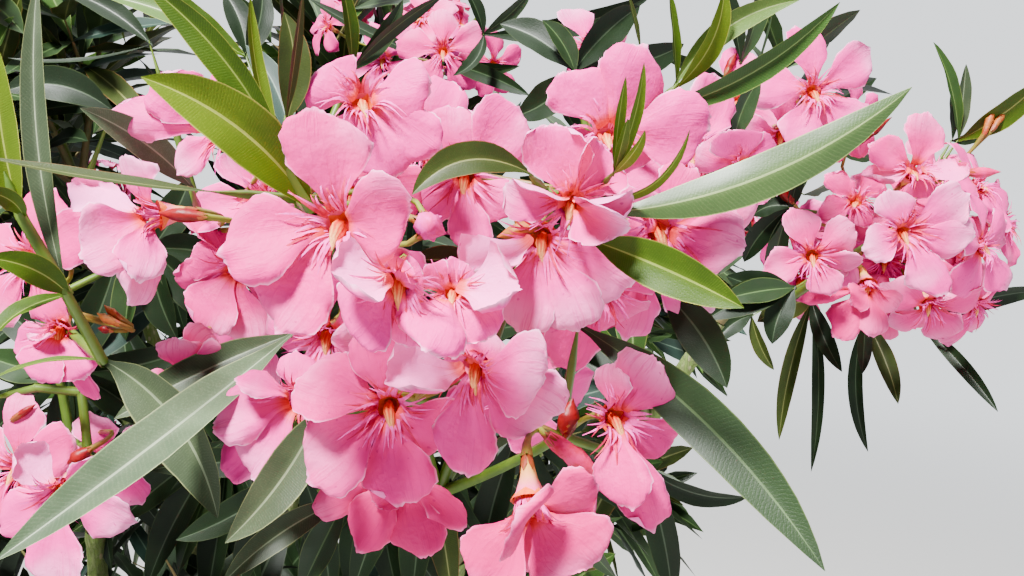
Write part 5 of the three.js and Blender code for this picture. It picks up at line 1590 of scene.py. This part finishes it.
def leafFinish(name, blade, darkAndShaded, vein, edge, gloss):
    finish, tree, shader = newFinish("leaf_" + name, leafLook["rough"], 0.14 + 0.6 * gloss, coat=gloss)
    figure = placed(tree, leafFigure, Veins=leafLook["veins"])
    paint(tree, shader, blade, (cloudIn(tree, 26.0), darkAndShaded, 1.0), (figure["Vein"], vein, leafLook["vein"]),
          (figure["Net"], darkAndShaded, leafLook["net"]), (figure["Fold"], vein, leafLook["fold"]),
          (figure["Edge"], edge, leafLook["edge"]))
    height = mathNode(tree, "SUBTRACT", figure["Net"], times(tree, figure["Vein"], 0.8))
    setBump(tree, shader, height, leafLook["relief"], 0.3)
    return finish


def ribFinish(name, vein, darkAndShaded):
    finish, tree, shader = newFinish("midrib_" + name, 0.5, 0.45)
    cloud = cloudIn(tree, 60.0)
    paint(tree, shader, [c + 14 for c in vein], (cloud, darkAndShaded, 0.35))
    setBump(tree, shader, cloud, 0.0003, 0.4)
    return finish


leafMaterials = []
for green in greens:
    blade, darkAndShaded, vein, edge, gloss = leafGreens[green]
    leafMaterials += [leafFinish(green, blade, darkAndShaded, vein, edge, gloss), ribFinish(green, vein, blade)]

# The pinks of the petals: blade, rim (partly a painted highlight), foot and back
petalPinks = {
    "petal_pale": ((242, 44, 154), (255, 190, 230), (226, 62, 26), (254, 136, 206)),
    "petal_pink": ((237, 31, 139), (254, 166, 216), (218, 52, 24), (250, 110, 188)),
    # The rose pink is painted shade, a shaded copy of the pink
    "petal_rose_shaded": ((227, 22, 120), (248, 128, 190), (204, 42, 22), (240, 76, 160)),
}


def petalFinish(name, blade, rim, foot, back):
    finish, tree, shader = newFinish(name, 0.55, 0.16, 0.05)
    shader.inputs["Sheen Roughness"].default_value = 0.4
    figure = placed(tree, petalFigure, Lines=16.0)
    underside = tree.nodes.new("ShaderNodeNewGeometry").outputs["Backfacing"]
    speck = ramped(tree, noised(tree, objectPlace(tree), 430.0, 1.0), 0.72, 0.78)
    # The paler outer part and the rim are partly the petal's own paler margin and partly painted highlight
    paint(tree, shader, blade, (cloudIn(tree, 38.0), shaded(blade, 0.93), 0.8), (figure["Pale"], rim, 0.42),
          (figure["Rim"], rim, 0.62), (figure["Line"], shaded(blade, 0.9), 0.5), (underside, back, 0.85),
          (figure["Foot"], foot, 0.85), (figure["Streak"], (foot[0] - 14, 22, 44), 0.6),
          (speck, shaded(blade, 0.8), 0.6))
    crease = mathNode(tree, "MULTIPLY_ADD", figure["Line"], 0.2, cloudIn(tree, 95.0))
    setBump(tree, shader, crease, 0.0011, 0.3)
    return finish


petalMaterials = [petalFinish(name, *shades) for name, shades in petalPinks.items()]


# Small plain-coloured parts with soft clouds of a second colour
def softFinish(name, colour, second, rough=0.5, scale=160.0, specular=0.4, relief=0.0002):
    finish, tree, shader = newFinish(name, rough, specular)
    cloud = cloudIn(tree, scale)
    paint(tree, shader, colour, (cloud, second, 1.0))
    setBump(tree, shader, cloud, relief, 0.5)
    return finish


# The throat: pink-red at its mouth, orange-red within and darker red deeper in; its orange and bright orange
# clouds are partly painted light, for light coming through the tube
def throatFinish():
    finish, tree, shader = newFinish("throat_red", 0.45, 0.3)
    deep = uvPlace(tree)[1]
    cloud = cloudIn(tree, 500.0)
    # The bright orange clouds are partly painted light, for light coming through the tube
    paint(tree, shader, (228, 40, 36), (ramped(tree, deep, 0.0, 0.2), (234, 74, 20), 1.0),
          (ramped(tree, deep, 0.35, 0.9), (206, 44, 14), 1.0), (cloud, (250, 150, 60), 0.5))
    setBump(tree, shader, cloud, 0.0002, 0.5)
    return finish


# The tube behind a bloom: pink where it opens, greenish cream where its stalk holds it
def tubeFinish():
    finish, tree, shader = newFinish("bloom_tube", 0.55, 0.2)
    back = uvPlace(tree)[1]
    cloud = cloudIn(tree, 300.0)
    paint(tree, shader, (246, 84, 150), (ramped(tree, back, 0.1, 0.7), (226, 176, 76), 1.0),
          (cloud, (232, 96, 84), 0.35))
    setBump(tree, shader, cloud, 0.0002, 0.5)
    return finish


# The woolly cone in the throat: cream with red lines that fade towards its tip
def coneFinish():
    finish, tree, shader = newFinish("anther_cone", 0.85, 0.05)
    turn, along = uvPlace(tree)
    wave = fromHalf(tree, mathNode(tree, "FRACT", times(tree, turn, 9.0)))
    line = times(tree, ramped(tree, wave, 0.16, 0.4), ramped(tree, along, 1.0, 0.5))
    paint(tree, shader, (218, 56, 16), (ramped(tree, along, 0.3, 0.85), (248, 178, 112), 1.0),
          (line, (196, 20, 24), 0.8))
    setBump(tree, shader, cloudIn(tree, 1400.0), 0.0004, 0.5)
    return finish


partMaterials = [
    throatFinish(),
    tubeFinish(),
    coneFinish(),
    softFinish("fringe_pale", (246, 88, 190), (234, 42, 146), 0.6, 500.0, 0.15),
    softFinish("fringe_deep", (212, 24, 92), (182, 8, 60), 0.6, 500.0, 0.15),
    softFinish("calyx_red", (150, 44, 16), (124, 70, 14), 0.5, 400.0),
]
stalkMaterial = softFinish("stalk_green", (120, 128, 34), (136, 84, 36), 0.45, 60.0)
budMaterials = [
    softFinish("bud_red", (132, 4, 10), (106, 3, 12), 0.45, 200.0, 0.3),
    softFinish("bud_pink", (228, 30, 118), (196, 10, 60), 0.5, 200.0, 0.25),
    softFinish("bud_orange", (176, 74, 22), (150, 96, 30), 0.55, 300.0),
    softFinish("bud_blush", (236, 60, 176), (218, 30, 124), 0.6, 240.0, 0.15),
    partMaterials[partTones.index("calyx")],
]
twigMaterials = [
    softFinish("twig_wood", (82, 88, 40), (102, 84, 50), 0.6, 120.0),
    softFinish("twig_green", (92, 116, 30), (70, 96, 26), 0.45, 80.0),
]
# Bark: its colour low down and higher up, its fissures and its dots, the heights in metres where it changes,
# and how fine its grain is
barkLooks = {
    "stem_bark": ((104, 92, 76), (112, 116, 72), (150, 138, 116), (176, 164, 138), (0.5, 0.86), 1.0),
    "bough_bark": ((112, 112, 74), (112, 136, 66), (140, 146, 100), (172, 166, 128), (0.75, 1.05), 1.4),
}


def barkFinish(name):
    low, high, pale, dot, change, grain = barkLooks[name]
    finish, tree, shader = newFinish(name, 0.78, 0.3)
    figure = placed(tree, barkFigure, Grain=grain)
    height = mathNode(tree, "ADD", heightIn(tree), times(tree, cloudIn(tree, 34.0), 0.09))
    paint(tree, shader, low, (ramped(tree, height, *change), high, 1.0), (figure["Fissure"], pale, 0.5),
          (figure["Dot"], dot, 0.7))
    relief = mathNode(tree, "ADD", figure["Fissure"], times(tree, figure["Dot"], 0.7))
    setBump(tree, shader, relief, 0.0009, 0.8)
    return finish


stemMaterial, boughMaterial = barkFinish("stem_bark"), barkFinish("bough_bark")
print("finishes made")

joinPiece("stems", [stemMaterial], list(stems))
joinPiece("boughs", [boughMaterial], list(boughs))
joinPiece("twigs", twigMaterials, massNames)
joinPiece("stalks", [stalkMaterial], massNames)
joinPiece("near_leaves", leafMaterials, frontMasses)
joinPiece("middle_leaves", leafMaterials, massNames)
joinPiece("far_leaves", leafMaterials, massNames)
joinPiece("near_petals", petalMaterials, frontMasses)
joinPiece("far_petals", petalMaterials, massNames)
joinPiece("near_bloom_parts", partMaterials, frontMasses)
joinPiece("far_bloom_parts", partMaterials, massNames)
joinPiece("buds", budMaterials, massNames)
for used in stock.values():
    bpy.data.meshes.remove(used["mesh"])

# The pot, in mm, as in the solids
pot = {
    "height": 330.0,
    "foot": 135.0,
    "mouth": 185.0,
    "wall": 12.0,
    "rim": 48.0,
    "proud": 11.0,  # how far the rim stands out
    "turns": 96,
    "softEdge": 2.2,
}


def wallAt(z):
    return pot["foot"] + (pot["mouth"] - pot["foot"]) * z / pot["height"]


# A body turned about the upright axis from an outline of radius and height in mm
def turnedBody(outline):
    bm = bmesh.new()
    verts = [bm.verts.new((r * mm, 0, z * mm)) for r, z in outline]
    edges = [bm.edges.new(pair) for pair in zip(verts, verts[1:])]
    bmesh.ops.spin(bm, geom=verts + edges, cent=(0, 0, 0), axis=(0, 0, 1), angle=2 * math.pi,
                   steps=pot["turns"], use_merge=True)
    bmesh.ops.remove_doubles(bm, verts=bm.verts, dist=1e-6)
    bmesh.ops.recalc_face_normals(bm, faces=bm.faces)
    return bm


def finishPiece(name, bm, finishes, node):
    for face in bm.faces:
        face.smooth = True
    mesh = bpy.data.meshes.new(name)
    bm.to_mesh(mesh)
    bm.free()
    for finish in finishes:
        mesh.materials.append(finish)
    return addPiece(name, mesh, [node])


def clayFinish():
    finish, tree, shader = newFinish("terracotta_clay", 0.86, 0.25)
    figure = placed(tree, grit, Fine=700.0, Broad=9.0)
    cloud, height = cloudIn(tree, 6.0), heightIn(tree)
    damp = times(tree, ramped(tree, height, 0.09, 0.0), cloud)
    worn = times(tree, ramped(tree, height, 0.318, 0.329), figure["Patch"])
    paint(tree, shader, (190, 108, 74), (cloud, (170, 90, 60), 1.0), (figure["Patch"], (214, 176, 152), 0.55),
          (figure["Grit"], (150, 78, 54), 0.25), (damp, (116, 66, 48), 0.7), (worn, (222, 160, 128), 0.8))
    ring = mathNode(tree, "SINE", times(tree, height, 1500.0))
    setBump(tree, shader, mathNode(tree, "ADD", times(tree, ring, 0.25), figure["Grit"]), 0.0006, 0.6)
    return finish


def makePot():
    top, wall, proud = pot["height"], pot["wall"], pot["proud"]
    under = top - pot["rim"]
    out = wallAt(top) + proud
    low = [(0, 0), (pot["foot"] - 3, 0), (wallAt(0), 3)]
    side = [(wallAt(z), z) for z in np.linspace(30, under, 10)]
    rim = [(wallAt(under) + proud, under + 5), (wallAt(under + 24) + proud - 1.2, under + 24),
           (out, top - 5), (out - 5, top), (wallAt(top) - wall, top)]
    within = [(wallAt(z) - wall, z) for z in np.linspace(300, wall, 6)] + [(0, wall)]
    body = turnedBody(low + side + rim + within)
    piece = finishPiece("clay_pot", body, [clayFinish()], "pot")
    bevel = piece.modifiers.new("softEdges", "BEVEL")
    bevel.width = pot["softEdge"] * mm
    bevel.segments = 3
    bevel.limit_method = "ANGLE"
    bevel.angle_limit = math.radians(25)


def compostFinish():
    finish, tree, shader = newFinish("moist_compost", 0.95, 0.2)
    figure = placed(tree, grit, Fine=420.0, Broad=70.0)
    paint(tree, shader, (52, 38, 28), (figure["Patch"], (84, 62, 44), 1.0),
          (figure["Grit"], (34, 24, 18), 0.6))
    setBump(tree, shader, mathNode(tree, "ADD", figure["Grit"], figure["Patch"]), 0.003, 0.9)
    return finish


def makeCompost():
    gap = 0.3
    bottom = pot["wall"] + gap
    inner = lambda z: wallAt(z) - pot["wall"] - gap
    outline = [(0, bottom)] + [(inner(z), z) for z in (bottom, 150, 286, 289)] + [(inner(291) - 9, 292.5)]
    outline += [(r, soilLevel) for r in np.linspace(inner(soilLevel) - 22, 0, 26)]
    bm = turnedBody(outline)
    for vert in bm.verts:
        x, y, z = vert.co
        if z > 0.288:
            vert.co.z += 0.0016 * noise.noise(Vector((x * 60, y * 60, 0)))
            vert.co.z += 0.0011 * noise.noise(Vector((x * 170, y * 170, 4)))
    finishPiece("compost_bed", bm, [compostFinish()], "compost")


# Crumbs of bark and a little pale grit lying on the compost, in mm
crumbs = {
    "count": 420,
    "within": 158.0,
    "paleOver": 0.86,  # the chance above which one is pale grit
}


def crumbFinishes():
    return [softFinish("bark_crumb", (92, 62, 42), (60, 40, 28), 0.9, 300.0, 0.2, 0.001),
            softFinish("pale_grit", (196, 188, 172), (168, 158, 140), 0.85, 300.0, 0.3, 0.0006)]


def makeCrumbs():
    stone = bmesh.new()
    bmesh.ops.create_icosphere(stone, subdivisions=1, radius=1.0)
    shape = bpy.data.meshes.new("crumbStock")
    stone.to_mesh(shape)
    stone.free()
    bm = bmesh.new()
    for _ in range(crumbs["count"]):
        bm.from_mesh(shape)
    bm.verts.ensure_lookup_table()
    bm.faces.ensure_lookup_table()
    size, faces = len(shape.vertices), len(shape.polygons)
    for i in range(crumbs["count"]):
        luck = lambda *kind: chance(i, *kind)
        r, a = crumbs["within"] * math.sqrt(luck(1)), fullTurn * luck(2)
        pale = luck(3) > crumbs["paleOver"]
        big = 1.2 + 1.4 * luck(4) if pale else 1.8 + 3.2 * luck(4) ** 2
        long = 1.0 if pale else 1.3 + luck(5)
        c, s = math.cos(fullTurn * luck(6)), math.sin(fullTurn * luck(6))
        for k, vert in enumerate(bm.verts[i * size:(i + 1) * size]):
            x, y, z = vert.co * (0.75 + 0.5 * luck(k, 7)) * big
            x *= long
            vert.co = Vector((x * c - y * s + r * math.cos(a), x * s + y * c + r * math.sin(a),
                              z * 0.55 + soilLevel + big * 0.25)) * mm
        for face in bm.faces[i * faces:(i + 1) * faces]:
            face.material_index = int(pale)
    finishPiece("compost_crumbs", bm, crumbFinishes(), "compost")
    bpy.data.meshes.remove(shape)


makePot()
makeCompost()
makeCrumbs()
print("pot and compost made")

# Floor, lights and air, in metres and watts
studio = {
    "floor": (226, 224, 220),
    "half": 40.0,  # the floor's size to each side
    "fade": (0.9, 4.5),  # from where to where the floor passes into the air
    "air": (226, 230, 234),
    "airStrength": 0.3,
    "airSeen": 2.0,  # the same air where the view looks straight at it
    "aim": (0, 0, 0.9),
    "key": {"at": (-0.5, -1.3, 3.1), "size": 0.5, "power": 345.0},
    "fill": {"at": (2.4, -1.5, 1.9), "size": 2.4, "power": 16.0},
    "sky": {"at": (0.3, 1.2, 3.4), "size": 3.0, "power": 70.0},
}


def makeFloor():
    bm = bmesh.new()
    bmesh.ops.create_grid(bm, x_segments=4, y_segments=4, size=studio["half"])
    mesh = bpy.data.meshes.new("floor")
    bm.to_mesh(mesh)
    bm.free()
    finish, tree, shader = newFinish("floor_paint", 0.8, 0.2)
    far = tree.nodes.new("ShaderNodeVectorMath")
    far.operation = "LENGTH"
    tree.links.new(objectPlace(tree), far.inputs[0])
    fade = ramped(tree, far.outputs["Value"], *studio["fade"])
    paint(tree, shader, studio["floor"], (fade, (0, 0, 0), 1.0))
    glow = blended(tree, fade, tint(0, 0, 0), tint(*studio["air"]))
    tree.links.new(glow, shader.inputs["Emission Color"])
    shader.inputs["Emission Strength"].default_value = studio["airSeen"]
    mesh.materials.append(finish)
    floor = bpy.data.objects.new("floor", mesh)
    floor.location.z = -0.0005
    bpy.context.scene.collection.objects.link(floor)


def makeLight(name):
    lamp = studio[name]
    data = bpy.data.lights.new(name + "Light", "AREA")
    data.shape = "DISK"
    data.size = lamp["size"]
    data.energy = lamp["power"]
    light = bpy.data.objects.new(name + "Light", data)
    light.location = lamp["at"]
    way = Vector(studio["aim"]) - light.location
    light.rotation_euler = way.to_track_quat("-Z", "Y").to_euler()
    bpy.context.scene.collection.objects.link(light)


def makeAir():
    world = bpy.data.worlds.new("air")
    world.use_nodes = True
    tree = world.node_tree
    back = tree.nodes["Background"]
    back.inputs["Color"].default_value = tint(*studio["air"])
    straight = tree.nodes.new("ShaderNodeLightPath").outputs["Is Camera Ray"]
    more = times(tree, straight, studio["airSeen"] - studio["airStrength"])
    tree.links.new(mathNode(tree, "ADD", more, studio["airStrength"]), back.inputs["Strength"])
    bpy.context.scene.world = world


makeFloor()
for name in ("key", "fill", "sky"):
    makeLight(name)
makeAir()
print("floor and light placed")
